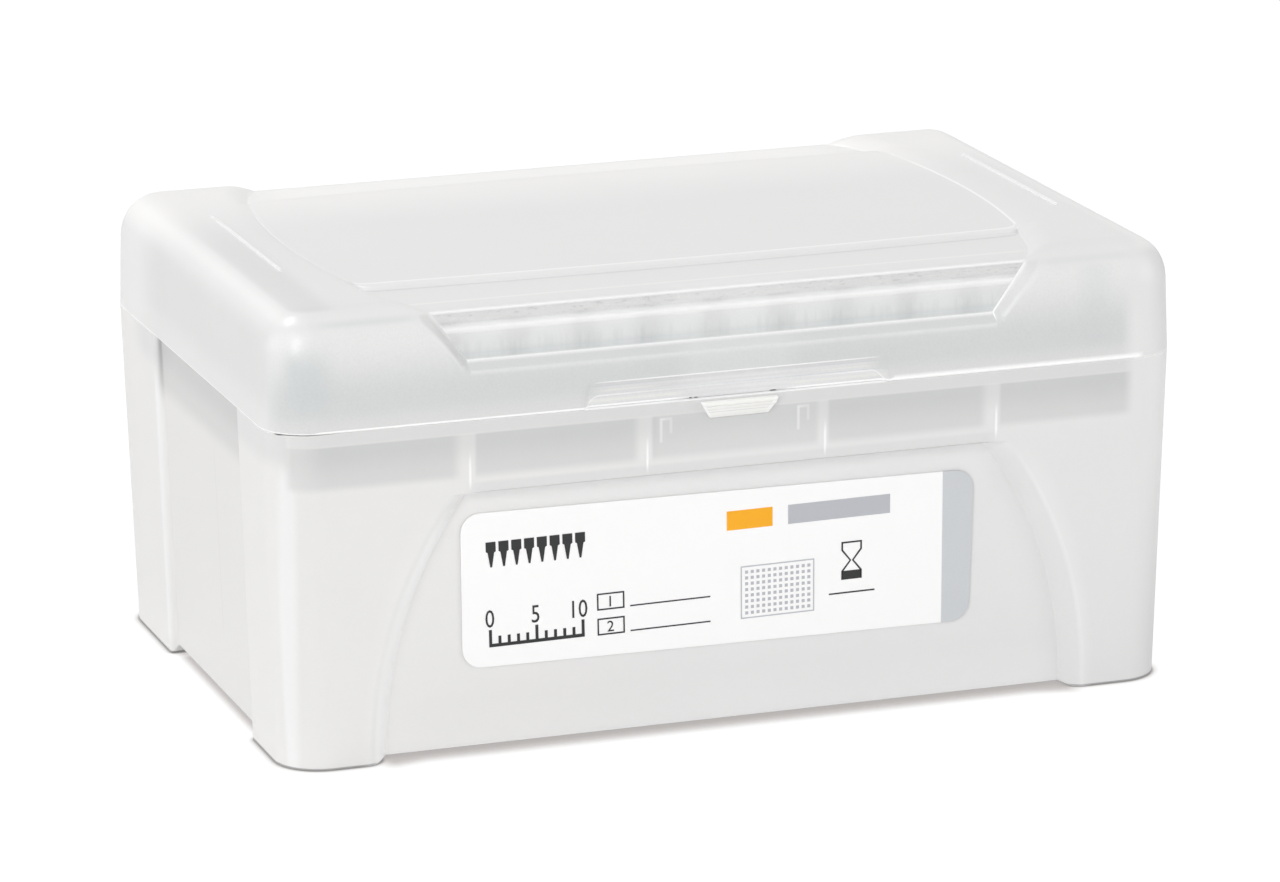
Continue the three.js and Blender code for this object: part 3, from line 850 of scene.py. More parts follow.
class BaseWall(Shell):
    """Levels are (inset, height, share of the front recess's depth)."""

    def recess_edges(self, z):
        soft = SHOULDER_AT_FOOT + (SHOULDER_AT_ROOF - SHOULDER_AT_FOOT) * clamp(z / RECESS_TOP)
        inner = arc_side(z, RECESS_FOOT, RECESS_FLARE)
        over = clamp(z - RECESS_TOP + RECESS_ROUND, RECESS_ROUND)
        rounding = RECESS_ROUND - math.sqrt(RECESS_ROUND**2 - over**2)
        return inner - rounding, inner + soft - 0.5 * rounding

    def lift(self, column=None, row=None):
        """How far the underside is raised, 0 on a foot."""
        along = across = 0.0
        if column:
            _, zone, t = column
            along = {"panel": 1.0, "side": ease(clamp(1 - t / 0.6)), "foot": 0.0}[zone]
        if row is not None:
            across = self.in_side_recess(row)
        return max(along * FOOT_LIFT, across * SIDE_LIFT)

    def in_side_recess(self, row):
        y = row[0]
        front = ease(clamp((y - SIDE_FRONT) / 1.4 + 0.5))
        return front * ease(clamp(SIDE_BACK - y + 0.5))

    def x_of(self, column, z):
        sign, zone, t = column
        inner, outer = self.recess_edges(z)
        low, high = {
            "panel": (0.0, inner),
            "side": (inner, outer),
            "foot": (outer, HALF_LENGTH - CORNER),
        }[zone]
        x = low + (high - low) * t
        return sign * x + RECESS_MIDDLE * (1 - t if zone == "foot" else 1.0)

    def height(self, z, lift):
        return z if self.inner else z + lift * max(0.0, 1 - z / LIFT_FADE)

    def reach(self, inset, depth):
        """How far a recess of this depth brings the wall in, less and less under the floor."""
        return inset + depth * max(0.0, 1 - max(inset - WALL, 0) / (CORNER - WALL))

    def on_long_wall(self, side, column, level):
        inset, z, share = level
        _, zone, t = column
        depth = RECESS_DEPTH * share * {"panel": 1.0, "side": (1 - t) ** 2, "foot": 0.0}[zone]
        y = HALF_WIDTH - self.reach(inset, depth)
        x = self.x_of(column, z)
        return Vector((x, -y if side == "front" else y, self.height(z, self.lift(column))))

    def on_end(self, side, row, level):
        inset, z, _ = level
        x = HALF_LENGTH - self.reach(inset, SIDE_RECESS * self.in_side_recess(row))
        return Vector((-x if side == "left" else x, row[0], self.height(z, self.lift(row=row))))

    def corner(self, level):
        inset, z, _ = level
        return HALF_LENGTH - CORNER, HALF_WIDTH - CORNER, CORNER - inset, z

    def on_patch(self, column, row):
        z = self.levels[0][1]
        return Vector((self.x_of(column, z), row[0], self.height(z, self.lift(column, row))))

    def marks(self, place, level):
        """Painted light on edges: round the roof of the recess, down its sides and along its foot.
        """
        _, z, share = level
        if self.inner or place[0] not in ("front", "rear") or z > RECESS_TOP + 0.1:
            return {}
        sign, zone, t = place[1]
        low = 0.2 * max(0.0, 1 - z / 7) + (0.5 if z < 0.15 else 0.0)
        near_roof = clamp((z - RECESS_TOP + 5) / 5)
        under = 0.3 * near_roof + 0.5 * clamp((z - RECESS_TOP + 1.5) / 1.5)
        below_roof = share > 0.98
        if zone == "side":
            lit = (0.3 if sign > 0 else 0.15) * math.exp(-(((t - 0.9) / 0.12) ** 2))
            opposite = (0.1 if sign > 0 else 0.7) * (1 - ease(clamp((t - 0.45) / 0.4)))
            lit = max(lit, opposite) * (1 - near_roof)
            return {"edge": max(lit, 0.5 * low, under * (1 - t) if below_roof else 0.0)}
        if zone == "panel":
            return {"edge": max(under, low) if below_roof else 0.0}
        return {}


def make_base():
    columns = mirrored(
        spread("panel", [0, 0.12, 0.24, 0.36, 0.48, 0.6, 0.7, 0.8, 0.88, 0.94, 0.975, 0.994])
        + spread("side", [0, 0.03, 0.12, 0.24, 0.36, 0.48, 0.6, 0.72, 0.84, 0.93, 1.0])
        + spread("foot", [0.2, 0.45, 0.72, 1.0])
    )
    end = HALF_WIDTH - CORNER
    ys = [-end, -31.5, -28.5, -26.2, -24.3, -24.05, -23.5, -22.95, -22.7, -21.6]
    ys += [-18.5, -14, -9, -4, 1, 6, 11, 14.6, 16.3, 16.9, 17.2, 17.5, 17.8, 18.1, 18.7, 19.8]
    rows = [(y,) for y in ys + [22.5, 26, 30.5, end]]

    outer = [(inset, 0.0, 1) for inset in (CORNER, 3.4, 1.4, FOOT_EDGE)]
    outer += [(FOOT_EDGE * a, FOOT_EDGE * b, 1) for a, b in quarter_turn(22.5, 45, 67.5, 90)]
    outer += [(0, z, 1) for z in (0.9, 2, 4, 7, 10, 13, 16, 19, 22, 25, 28, 30.5, 32.5)]
    outer += [(0, RECESS_TOP - z, 1) for z in (1.3, 0.95, 0.65, 0.4, 0.2, 0.08)]
    outer += [(0, RECESS_TOP - 0.02, 0.97), (0, RECESS_TOP + 0.02, 0.1)]
    outer += [(0, RECESS_TOP + 0.1, 0.03), (0, RECESS_TOP + 0.3, 0)]
    outer += [(0, z, 0) for z in (36.2, 37.5, 39, 41, 43, 44.2, 44.7)]
    rim = SEAM - SEAM_SLIT
    outer += [(0, rim - 0.08, 0), (0.03, rim - 0.02, 0), (0.08, rim, 0), (WALL - 0.1, rim, 0)]
    inner = [(inset, FLOOR_TOP, 1) for inset in (CORNER, 3.4, WALL + 0.6)]
    inner += [(WALL + 0.15, FLOOR_TOP + 0.15, 1), (WALL, FLOOR_TOP + 0.6, 1)]
    inner += [(WALL, z, 1) for z in (6, 12, 18, 24, 30, 35.8)]
    inner += [(WALL, z, 0) for z in (36.25, 40, rim - 0.1)]
    walls = [BaseWall(columns, rows, outer, False), BaseWall(columns, rows, inner, True)]
    bm = take_in(closed_shell(*walls, False), *base_fittings())
    drafted(bm, base_scale)
    return bm


def base_fittings():
    """Ribs of the long walls, corner shelves that carry the tray, thumb ledge and hinge cheeks."""
    parts = []
    inside = HALF_WIDTH - WALL
    for places, half, reach, sunk, low, high, soft in (
        ((11.8, 36.2), 0.9, 0.9, WALL / 2, 35.8, 44.3, 0.15),
        ((47.0,), 10.6, 4.6, 0.5, 36.5, 37.6, 0.2),
    ):
        for side in (1, -1):
            near, far = sorted((side * (inside - reach), side * (inside + sunk)))
            parts += both_ways(
                lambda x: solid_of(rectangle(x - half, x + half, near, far), 2, low, high, soft),
                *places,
            )
    return [*parts, catch_ledge(), *both_ways(hinge_cheeks, HINGE_X)]


def catch_ledge():
    """The thumb ledge: flat on top, two fine ridges on its face, sloping back below."""
    outline = [(0.6, LEDGE_TOP), (0.6, LEDGE_FOOT), (-0.3, LEDGE_FOOT), (-0.42, 42.5)]
    outline += [(-0.68, 43.45), (-0.7, 43.55), (-0.84, 43.62), (-0.88, 43.95), (-0.8, 44.02)]
    outline += [(-0.8, 44.1), (-0.9, 44.17), (-0.9, 44.42), (-0.82, 44.56), (-0.68, LEDGE_TOP)]
    outline = [(y - HALF_WIDTH, z) for y, z in outline]
    bm = solid_of(outline, 0, -LEDGE_HALF, LEDGE_HALF)
    for v in bm.verts:
        v.co.x *= 1.02 - 0.26 * clamp((LEDGE_TOP - v.co.z) / 2.3) ** 1.3
    ends = [e for e in bm.edges if any(len(f.verts) > 4 for f in e.link_faces)]
    round_off(bm, ends, 0.12, 3)
    return bm


def hinge_cheeks(middle):
    gap = KNUCKLE_WIDTH / 2 + 0.3
    wall = HALF_WIDTH - WALL / 2
    outline = [(wall, SEAM - CHEEK_DROP), (wall + 1.4, SEAM - CHEEK_DROP)]
    outline += arc((PIN_Y, SEAM), CHEEK_RADIUS, 0, 180, 16)
    outline += [(PIN_Y - CHEEK_RADIUS, CHEEK_TOP), (wall, CHEEK_TOP)]
    pin = arc((PIN_Y, SEAM), PIN_RADIUS, 0, 345, 23)
    return take_in(
        bmesh.new(),
        *(
            solid_of(outline, 0, start, start + CHEEK_WIDTH, 0.2)
            for start in (middle - gap - CHEEK_WIDTH, middle + gap)
        ),
        solid_of(pin, 0, middle - gap - 1, middle + gap + 1),
    )


# ---- Lid ----

# Inset and height on the plain body, depth and height of the window's bay, the same of the pocket's
# rear edge, and depth of the grip.
Level = namedtuple("Level", "inset z bay bay_z rear rear_z grip")
IN_BAY = ("grip", "lip", "bay")
ZONES = (*IN_BAY, "slope", "end")


def pocket_edge(y):
    """X of the foot of the slope at the pocket's ends: nearly straight, turning in at the walls."""
    turned = max((-22 - y) / 16.9, (y - 26) / 12.7, 0)
    return POCKET_REACH - POCKET_BOW * ((y - 3) / HALF_WIDTH) ** 2 - POCKET_TURN * turned**2


def slope_rise(t):
    """From the crisp foot of a slope to its soft head."""
    return 1 - (1 - t) ** 2


def lid_levels():
    foot = SEAM + SEAM_SLIT
    upright = [(0.14, foot, GRIP_DEPTH), (0.04, foot + 0.05, GRIP_DEPTH)]
    for z in (foot + 0.16, foot + 0.26, foot + 0.36, 45.8, 46.35):
        upright.append((0.0, z, GRIP_DEPTH))
    for z, grip in (
        *((46.5, 0.77), (46.7, 0.7), (47.5, 0.38), (48.1, 0.14), (48.24, 0.08), (48.32, 0.05)),
        *((48.4, 0.02), (48.48, 0.01), (48.6, 0), (49.6, 0), (50.7, 0)),
    ):
        upright.append((0.0, z, grip))
    levels = [Level(inset, z, inset, z, inset, z, grip) for inset, z, grip in upright]
    frame_of_window = ((51.15, 0.0), (51.3, 0.05), (51.5, 0.25), (52.1, 1.31), (52.3, 1.66))
    glass = ((z, WINDOW_DEPTH) for z in (52.65, 53.6, 54.9))
    for z, bay in (*frame_of_window, (52.45, 1.86), *glass):
        levels.append(Level(0.0, z, bay, z, 0.0, z, 0))
    rear_top = POCKET_FLOOR - REAR_DROP
    for turn, bay, rear in (
        (10, (WINDOW_DEPTH, 56.0), None),
        (20, (WINDOW_DEPTH, 57.1), None),
        (30, (WINDOW_DEPTH, 58.2), None),
        (36, (WINDOW_DEPTH, 58.68), None),
        (42, (WINDOW_DEPTH, 58.82), None),
        (50, (1.98, 59.0), (1.95, rear_top - 0.1)),
        (60, (2.35, 59.1), (2.4, rear_top - 0.02)),
        (70, (3.3, 59.16), (3.4, rear_top)),
        (80, (4.3, POCKET_FLOOR), (4.4, rear_top)),
        (90, (LID_EDGE, POCKET_FLOOR), (LID_EDGE, rear_top)),
    ):
        angle = math.radians(turn)
        inset = LID_EDGE * (1 - math.cos(angle))
        z = SHOULDER_TOP - LID_EDGE * (1 - math.sin(angle))
        levels.append(Level(inset, z, *bay, *(rear or (inset, z)), 0))
    return levels


class LidWall(Shell):
    def __init__(self, columns, rows, inner):
        super().__init__(columns, rows, lid_levels(), inner)
        self.wall = WALL if inner else 0.0

    def shoulder(self, level):
        """Inset and height on the plain rounded body."""
        if not self.inner:
            return level.inset, level.z
        knee = SHOULDER_TOP - LID_EDGE
        if level.z <= knee:
            return self.wall, level.z
        shrink = (LID_EDGE - self.wall) / LID_EDGE
        return self.wall + level.inset * shrink, knee + (level.z - knee) * shrink

    def corner(self, level):
        """Where the straight part of each wall ends, the corner's radius and the height."""
        inset, z = self.shoulder(level)
        whole = LID_EDGE - self.wall
        radius = (CORNER - self.wall) * max(0.0, 1 - (inset - self.wall) / whole)
        return HALF_LENGTH - inset - radius, HALF_WIDTH - inset - radius, radius, z

    def bay(self, side, level):
        """Depth and height of the window's bay, or of the pocket's rear edge."""
        front = side == "front"
        depth, z = (level.bay, level.bay_z) if front else (level.rear, level.rear_z)
        if not self.inner:
            return depth, z
        if front and level.bay_z < BAY_TOP:
            sunk = level.inset == 0 or depth > 0.2
            depth = depth + self.wall if sunk else self.wall
            return depth, z - self.wall * clamp((z - 49) / 2)
        if front:
            return depth + self.wall * (1 - (depth - WINDOW_DEPTH) / 3.6), z - self.wall
        inset, height = self.shoulder(level)
        if z > POCKET_FLOOR - REAR_DROP - 0.15 and level.inset > 1.9:
            return max(depth, inset), z - self.wall
        return inset, height

    def edges(self, side, level):
        """X of the foot and of the head of the slope at the end of the bay or the pocket."""
        y = HALF_WIDTH - self.bay(side, level)[0]
        if side == "rear":
            foot = pocket_edge(min(y, 38.7))
            return foot, foot + POCKET_SLOPE
        if level.bay_z >= BAY_TOP:
            foot = pocket_edge(-y)
            share = clamp((level.bay - WINDOW_DEPTH) / 3.6)
            return foot, foot + 2.9 + (POCKET_SLOPE - 2.9) * ease(share)
        grow = 0.9 if self.inner else 0.0
        foot = WINDOW_HALF + grow + WINDOW_LEAN * max(0.0, level.bay_z - SILL)
        return foot, foot + 2.0 + 0.9 * clamp((level.bay_z - SILL) / 6.5)

    def x_of(self, column, z, foot, head, end):
        """X of a column, left or right, with the stops between which its zone runs."""
        _, zone, t = column
        grip = GRIP_END - 0.2 * clamp((z - 46.5) / 1.9)
        squeeze = foot / WINDOW_HALF
        stops = (0.0, (grip - 0.7) * squeeze, (grip + 0.3) * squeeze, foot, head, end)
        low, high = stops[ZONES.index(zone) :][:2]
        return low + (high - low) * t

    def on_long_wall(self, side, column, level):
        sign, zone, t = column
        inset, z = self.shoulder(level)
        x = self.x_of(column, level.z, *self.edges(side, level), self.corner(level)[0])
        depth, height = inset, z
        if zone in IN_BAY:
            depth, height = self.bay(side, level)
            if side == "front":
                depth += level.grip * {"grip": 1.0, "lip": 1 - ease(t), "bay": 0.0}[zone]
        elif zone == "slope":
            low, low_z = self.bay(side, level)
            rise = slope_rise(t)
            depth, height = low + (inset - low) * rise, low_z + (z - low_z) * rise
        y = HALF_WIDTH - depth
        return Vector((sign * x, -y if side == "front" else y, height))

    def on_end(self, side, row, level):
        inset, z = self.shoulder(level)
        y = row[0] / (HALF_WIDTH - LID_EDGE) * self.corner(level)[1]
        return Vector(((-1 if side == "left" else 1) * (HALF_LENGTH - inset), y, z))

    def on_patch(self, column, row):
        sign, zone, t = column
        y, bow, rise = row
        end = HALF_LENGTH - LID_EDGE
        foot = pocket_edge(y)
        head = foot + POCKET_SLOPE
        x = self.x_of(column, SHOULDER_TOP, foot, head, end)
        floor = POCKET_FLOOR - self.wall + (0.0 if self.inner else rise)
        floor -= REAR_DROP * ease(clamp((y - 29.8) / 2.5))
        top = SHOULDER_TOP - self.wall
        z = {"slope": floor + (top - floor) * slope_rise(t), "end": top}.get(zone, floor)
        if zone == "end":
            bow *= clamp((end - x) / (end - head))
        y += bow * PLATEAU_BOW * (x / HALF_LENGTH) ** 2
        past = clamp(x - foot + PLATEAU_ROUND, PLATEAU_ROUND)
        y += bow * (PLATEAU_ROUND - math.sqrt(PLATEAU_ROUND**2 - past**2))
        return Vector((sign * x, y, z))

    def marks(self, place, level):
        """Painted highlights along the foot of the wall and the edges of the window, and painted
        shade on its flanks and under some edges.
        """
        kind = place[0]
        front = kind == "front"
        if self.inner and not front:
            return {}
        z, bay_z = level.z, level.bay_z
        foot_lit = 1.0 if z < SEAM + (0.3 if front else 0.2) else 0.0
        if kind not in ("front", "rear"):
            return {"edge": foot_lit * (0.5 if place[:2] == ("bend", 0) else 1.0)}
        sign, zone, t = place[1]
        foot_line = zone == "slope" and 0.01 < t < 0.07
        if kind == "rear":
            return {"edge": 0.3 if foot_line and level.rear_z > 58.6 and z > 59.0 else foot_lit}
        if zone == "grip" and t < 0.31:
            foot_lit = 0.1
        if sign > 0 and zone in ("bay", "slope", "end"):
            foot_lit = 1.0 if z < SEAM + 0.4 else 0.0
        in_bay = zone in IN_BAY
        found = {"edge": foot_lit, "pane": 1.0 if in_bay and 52.6 < bay_z < BAY_TOP else 0.0}
        if in_bay:
            window_edges = ((51.1, 51.35, 0.22), (52.2, 52.35, 0.5), (52.4, 52.5, 0.8))
            for low, high, lit in (*window_edges, (58.8, 59.05, 0.8)):
                if low < bay_z < high:
                    found["edge"] = lit
            if 51.4 < bay_z < 52.2:
                found["painted_shade"] = 0.12
        if foot_line and 51.6 < bay_z < BAY_TOP:
            found["edge"] = 1.0 - 0.6 * clamp((bay_z - 53) / 5) if sign > 0 else 0.12
        if zone == "slope" and 0.15 < t < 0.6 and 53 < bay_z < BAY_TOP:
            found["painted_shade"] = 0.3 if sign > 0 else 0.5
        if zone == "grip":
            if 48.3 < z < 48.45:
                found["edge"] = 0.9 * (1 - 0.8 * t**6)
            if 48.0 < z < 48.3:
                found["painted_shade"] = 0.35
        return found

    def patch_marks(self, column, row):
        """Painted highlights along the foot of the pocket's slopes and the front of the plateau,
        and painted shade at the foot of that front.
        """
        sign, zone, t = column
        y = row[0]
        if zone == "slope" and 0.01 < t < 0.07:
            lit = 0.7 if sign > 0 else 1.0
            return {"edge": 0.0 if y < -25 else lit if y < 24 else 0.25 * lit}
        if zone in IN_BAY and y < 0:
            lit = {-26.05: 0.1, -25.8: 0.1, -25.4: 0.1, -24.8: 0.2, -24.3: 0.85}.get(y, 0.0)
            return {"edge": lit, "painted_shade": 0.5 if -27.2 < y < -26.6 else 0.0}
        return {}


def make_lid():
    columns = mirrored(
        spread("grip", [0, 0.15, 0.3, 0.45, 0.6, 0.75, 0.87, 0.96])
        + spread("lip", [0, 0.25, 0.5, 0.75, 1.0])
        + spread("bay", [0.05, 0.2, 0.35, 0.5, 0.65, 0.8, 0.88, 0.92, 0.95, 0.97, 0.985, 0.995])
        + spread("slope", [0, 0.02, 0.06, 0.1, 0.2, 0.35, 0.5, 0.65, 0.8, 0.9, 1.0])
        + spread("end", [0.12, 0.28, 0.46, 0.64, 0.82, 1.0])
    )
    # Y, how much the row bows with the plateau's outline, and how far it stands above the pocket.
    rise = PLATEAU_RISE
    rows = [(-35.3, 0, 0), (-33, 0.2, 0), (-30, 0.7, 0), (-28, 1, 0), (-27.3, 1, 0), (-27.1, 1, 0)]
    rows += [(-26.7, 1, 0), (-26.5, 1, 0.02), (-26.4, 1, 0.1), (-26.2, 1, 0.3), (-26.05, 1, 0.4)]
    rows += [(-25.8, 1, 0.46), (-25.4, 1, 0.49), (-24.8, 1, rise), (-24.3, 1, rise), (-24, 1, rise)]
    rows += [(y, -y / 22, rise) for y in (-21, -17, -13, -9, -4.5, 0, 5, 10, 15, 20)]
    rows += [(24.5, -1, rise), (28.4, -1, rise), (29.1, -1, rise), (29.35, -1, 0.45)]
    rows += [(29.55, -1, 0.25), (29.75, -1, 0.05), (30.1, -1, 0), (31.2, -0.7, 0)]
    rows += [(33.2, -0.3, 0), (35.3, 0, 0)]
    walls = [LidWall(columns, rows, inner) for inner in (False, True)]
    ribs = [stack_rib(x) for x in RIB_X]
    bm = take_in(closed_shell(*walls, True), *ribs, *both_ways(hinge_knuckle, HINGE_X))
    drafted(bm, lid_scale)
    return bm


def stack_rib(x):
    outline = rectangle(x - RIB_HALF, x + RIB_HALF, SHOULDER_TOP - 0.5, SHOULDER_TOP + 0.3)
    return solid_of(outline, 1, RIB_FRONT, RIB_BACK, 0.06, 3)


def hinge_knuckle(middle):
    """An open ring that snaps over the pin, on an arm from the lid's rear wall."""
    centre = (PIN_Y, SEAM)
    wall = HALF_WIDTH - WALL / 2
    outline = [
        (wall, KNUCKLE_FOOT),
        (PIN_Y - KNUCKLE_RADIUS + 0.06, KNUCKLE_FOOT),
        *arc(centre, KNUCKLE_RADIUS, 180, 240, 8),
        *arc(centre, BORE_RADIUS, 240, -60, 28),
        *arc(centre, KNUCKLE_RADIUS, -60, 90, 18),
        (wall, SEAM + KNUCKLE_RADIUS),
    ]
    return solid_of(outline, 0, middle - KNUCKLE_WIDTH / 2, middle + KNUCKLE_WIDTH / 2)


# ---- Tips ----

# Radius and height, up the outside and down the bore.
TIP_PROFILE = (
    *((0.22, TIP_FOOT), (0.5, TIP_FOOT), (1.75, 38.0), (2.2, 45.9), (2.45, 46.45), (2.95, 46.55)),
    *((3.0, 46.8), (3.05, 54.4), (3.15, 55.0), (3.15, 56.35), (3.0, TIP_TOP), (2.35, TIP_TOP)),
    *((2.2, 56.2), (1.7, 49.0), (1.35, 44.0)),
)


def make_tip(x, y):
    """A turned tip with ribs round its collar."""
    bm = marked(bmesh.new())
    verts = [bm.verts.new((r, 0, z)) for r, z in TIP_PROFILE]
    edges = [bm.edges.new(pair) for pair in zip(verts, verts[1:] + verts[:1])]
    bmesh.ops.spin(
        bm,
        geom=verts + edges,
        cent=(0, 0, 0),
        axis=(0, 0, 1),
        angle=2 * math.pi,
        steps=TIP_STEPS,
        use_merge=True,
    )
    bmesh.ops.remove_doubles(bm, verts=bm.verts[:], dist=1e-4)
    bmesh.ops.recalc_face_normals(bm, faces=bm.faces[:])
    for v in bm.verts:
        turn = round(math.atan2(v.co.y, v.co.x) / (2 * math.pi) * TIP_STEPS)
        if turn % 2 and 46.6 < v.co.z < 54.6 and v.co.xy.length > 2.9:
            v.co.xy *= 0.91
    bmesh.ops.translate(bm, vec=(x, y, 0), verts=bm.verts[:])
    return bm


# ---- Label print ----


def printed(outline):
    """A flat shape of ink, drawn in X and Z from the label's middle."""
    return solid_of(outline, 1, LABEL_FACE + INK_BACK - INK_DEPTH, LABEL_FACE + INK_BACK)


def bar(left, low, width, height):
    return printed(rectangle(left, left + width, low, low + height))


def ink(name, shapes, material):
    bm = take_in(bmesh.new(), *shapes)
    turn = Matrix.Rotation(-LABEL_TURN, 4, "Y")
    shift = Matrix.Translation((LABEL_MIDDLE[0], 0, LABEL_MIDDLE[1]))
    bmesh.ops.transform(bm, matrix=shift @ turn, verts=bm.verts[:])
    drafted(bm, base_scale)
    return finished(name, bm, "body", material)


def frame_shapes(left, low, width, height, line):
    upright = height - 2 * line
    return [
        bar(left, low, width, line),
        bar(left, low + height - line, width, line),
        bar(left, low + line, line, upright),
        bar(left + width - line, low + line, line, upright),
    ]


def tip_mark(x, z, size):
    """A small upright tip, mouth up."""
    half = [(0.2, 1), (0.2, 0.62), (0.13, 0.58), (0.035, 0)]
    shape = [(-0.2, 1), *half, *((-a, b) for a, b in half[:0:-1])]
    return printed([(x + a * size, z + b * size) for a, b in reversed(shape)])


def numeral(text, x, z, size, squeeze=1.0):
    """Plain figures, as thin solids."""
    curve = bpy.data.curves.new("figures", "FONT")
    curve.body = text
    curve.size = size
    curve.resolution_u = 3
    maker = bpy.data.objects.new("figures", curve)
    bpy.context.scene.collection.objects.link(maker)
    bpy.context.view_layer.update()
    graph = bpy.context.evaluated_depsgraph_get()
    mesh = bpy.data.meshes.new_from_object(maker.evaluated_get(graph))
    bm = bmesh.new()
    bm.from_mesh(mesh)
    bpy.data.objects.remove(maker)
    bpy.data.meshes.remove(mesh)
    bmesh.ops.remove_doubles(bm, verts=bm.verts[:], dist=1e-5)
    for v in bm.verts:
        v.co = (x + v.co.x * squeeze, LABEL_FACE + INK_BACK, z + v.co.y)
    draw_out(bm, bm.faces[:], (0, -INK_DEPTH, 0))
    return marked(bm)


def hourglass_shapes(x, z):
    """A sand glass with sand in its lower half, in lines."""
    line, half, tall = 0.22, 1.45, 2.6
    within = half - line
    lid_and_sand = ((tall - line, line), (-tall, 1.2))
    shapes = [bar(x - half, z + low, 2 * half, height) for low, height in lid_and_sand]
    for side in (-1, 1):
        outline = [(half, tall), (half, 1.4), (0.3, 0), (half, -1.4), (half, -tall)]
        outline += [(within, -tall), (within, -1.5), (0.05, 0), (within, 1.5), (within, tall)]
        shapes.append(printed([(x + side * a, z + b) for a, b in outline]))
    return shapes


def make_print():
    black = [tip_mark(-31.6 + 1.75 * i, 3.6, 3.4) for i in range(8)]
    left, low, line = -32.2, -7.2, 0.45
    black.append(bar(left, low, 13.2, line))
    for i in range(11):
        black.append(bar(left + 1.28 * i, low + line, 0.4, 1.9 if i % 5 == 0 else 1.0))
    for text, along in (("0", -0.5), ("5", 5.8), ("10", 11.0)):
        black.append(numeral(text, left + along, low + 2.7, 3.4, 0.8))
    for number, low in (("1", -3.9), ("2", -7.3)):
        black += frame_shapes(-17.2, low, 3.8, 2.3, 0.2)
        black.append(numeral(number, -15.9, low + 0.4, 2.1))
        black.append(bar(-12.6, low + 0.1, 11.2, 0.18))
    black += hourglass_shapes(18.6, -0.9)
    black.append(bar(15.4, -5.4, 6.5, 0.2))
    ink("label_black_print", black, BLACK_INK)

    left, low = 2.9, -7.3
    grey = [bar(9.6, 5.0, 14.4, 2.6), *frame_shapes(left, low, 10.4, 7.2, 0.16)]
    for i in range(12):
        for j in range(8):
            grey.append(bar(left + 0.62 + 0.8 * i, low + 0.55 + 0.8 * j, 0.42, 0.42))
    ink("label_grey_print", grey, GREY_INK)
    ink("label_orange_print", [bar(1.0, 5.0, 6.4, 2.6)], ORANGE_INK)


# ---- Putting it together ----

base = finished("base_shell", make_base(), "body", MILKY, 50)
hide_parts("base")
lid = finished("lid_shell", make_lid(), "lid", FROSTED, 50)
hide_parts("lid")

for row, letter in enumerate(ROWS):
    for column in range(COLUMNS):
        place = f"{letter}{column + 1:02d}"
        x = (column - (COLUMNS - 1) / 2) * PITCH
        y = (row - (len(ROWS) - 1) / 2) * PITCH
        tip = finished("ribbed_tip_" + place, make_tip(x, y), "body", TIP, 40)
        if "tip_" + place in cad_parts:
            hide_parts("tip_" + place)

for name, material in (("tip_tray", TRAY), ("front_label", LABEL)):
    for carried_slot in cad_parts[name].material_slots:
        carried_slot.material = material

make_print()

# ---- Floor, light and camera ----


def floor_glow(tree):
    """The floor as the camera sees it: a white sheet with a painted shadow that darkens it only
    close to the box, softly in front of the raised undersides, and in a thin line round the feet."""
    _, x, y, _ = millimetres(tree)

    def openness(distance, samples):
        inputs = {"Distance": distance * MM}
        return from_node(tree, "ShaderNodeAmbientOcclusion", "AO", inputs, samples=samples)

    under_front = abs(x).ramp(49.5, 46.5) * abs(y).ramp(30, 34)
    under_ends = y.strip(-21.5, 15.5, 3) * x.ramp(-56, -58)
    raised = under_front | under_ends
    front_shade = openness(6, 12).ramp(0.55, 0.88, 0.47, 0.97) | x.ramp(-57.5, -58.5)
    end_shade = openness(1.9, 12).ramp(0.45, 0.92, 0.47, 0.97) | x.ramp(-58.5, -57.5)
    soft_shade = maths("MINIMUM", front_shade, end_shade)
    feet_shade = openness(1.5, 8).ramp(0.4, 1, 0.6, 0.96) | x.ramp(-61.5, -62.5) * 0.96
    light = between(raised, feet_shade, soft_shade)
    hard_shade = openness(0.6, 8).ramp(0.4, 0.95, 0.4, 1) | raised * 0.95
    tint = blend(light.ramp(0.5, 0.95), (1, 0.95, 0.93, 1), (1, 1, 1, 1))
    return node(tree, "ShaderNodeEmission", {"Color": tint, "Strength": light * hard_shade})


def make_floor():
    material, tree, shader, output = new_material("pale_floor")
    mottle = object_place(tree).noise(Scale=3.0)
    plug(shader.inputs["Base Color"], brightened((0.9, 0.9, 0.9), mottle * 0.01))
    plug(shader.inputs["Roughness"], 0.9)
    plug(shader.inputs["Specular IOR Level"], 0.0)
    matt = node(tree, "ShaderNodeBsdfDiffuse", {"Color": (0.1, 0.1, 0.1, 1)})
    inputs = {0: matt.outputs[0], 1: floor_glow(tree).outputs[0]}
    seen = node(tree, "ShaderNodeAddShader", inputs)
    plug(output.inputs["Surface"], mixed_shader(light_path(tree, "Is Camera Ray"), shader, seen))
    bm = bmesh.new()
    bmesh.ops.create_grid(bm, x_segments=8, y_segments=8, size=4)
    mesh = bpy.data.meshes.new("floor")
    bm.to_mesh(mesh)
    bm.free()
    mesh.materials.append(material)
    floor = bpy.data.objects.new("floor", mesh)
    bpy.context.scene.collection.objects.link(floor)


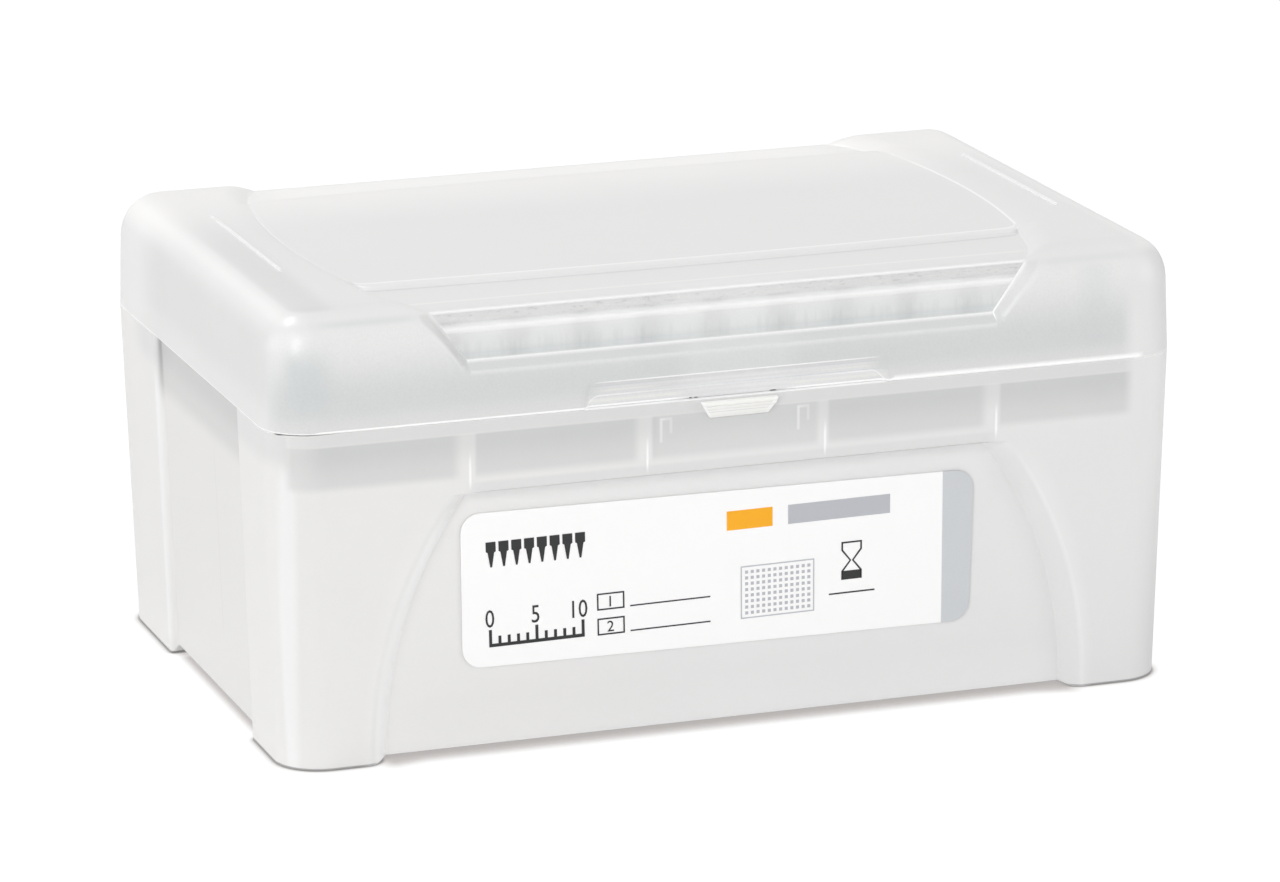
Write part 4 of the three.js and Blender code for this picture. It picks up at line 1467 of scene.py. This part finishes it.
def make_world(strength):
    """Even light, and plain white wherever the sky itself is seen."""
    world = bpy.data.worlds.new("studio")
    world.use_nodes = True
    tree = world.node_tree
    tree.nodes.clear()
    light, white = (
        node(tree, "ShaderNodeBackground", {"Color": colour, "Strength": level})
        for colour, level in (((1.0, 0.993, 0.99, 1), strength), ((1, 1, 1, 1), 1.0))
    )
    rays = ("Is Camera Ray", "Is Glossy Ray", "Is Transmission Ray")
    seen = largest(light_path(tree, name) for name in rays)
    node(tree, "ShaderNodeOutputWorld", {"Surface": mixed_shader(seen, light, white)})
    bpy.context.scene.world = world


def softbox(name, place, height, size, power):
    """A rectangular lamp that faces a point this high above the middle of the floor."""
    lamp = bpy.data.lights.new(name, "AREA")
    lamp.shape = "RECTANGLE"
    lamp.size, lamp.size_y = size
    lamp.energy = power
    made = bpy.data.objects.new(name, lamp)
    made.location = place
    made.rotation_mode = "QUATERNION"
    towards = Vector((0, 0, height)) - Vector(place)
    made.rotation_quaternion = towards.to_track_quat("-Z", "Y")
    bpy.context.scene.collection.objects.link(made)


def make_camera():
    camera = bpy.data.objects.new("camera", bpy.data.cameras.new("camera"))
    camera.data.sensor_width = 36
    camera.data.lens = 176.26
    camera.data.clip_start, camera.data.clip_end = 0.05, 20
    right = Vector((0.94469501, -0.32787772, -0.00689562))
    up = Vector((0.09126221, 0.24263639, 0.96581509))
    turn = Matrix((right, up, right.cross(up))).transposed()
    camera.rotation_mode = "QUATERNION"
    camera.rotation_quaternion = turn.to_quaternion()
    camera.location = (-0.267949, -0.780488, 0.249469)
    bpy.context.scene.collection.objects.link(camera)
    bpy.context.scene.camera = camera


make_floor()
make_world(0.55)
softbox("front_left_box", (-0.93, -1.0, 0.55), 0.03, (0.5, 0.9), 6.6)
softbox("front_right_box", (1.15, -0.85, 0.4), 0.03, (0.9, 0.9), 4.6)
softbox("left_box", (-1.3, 0.35, 0.4), 0.03, (0.8, 0.6), 1.1)
softbox("top_box", (-0.48, 0.3, 1.05), 0.06, (0.32, 0.32), 3.3)
make_camera()

bpy.context.scene.view_settings.view_transform = "Standard"
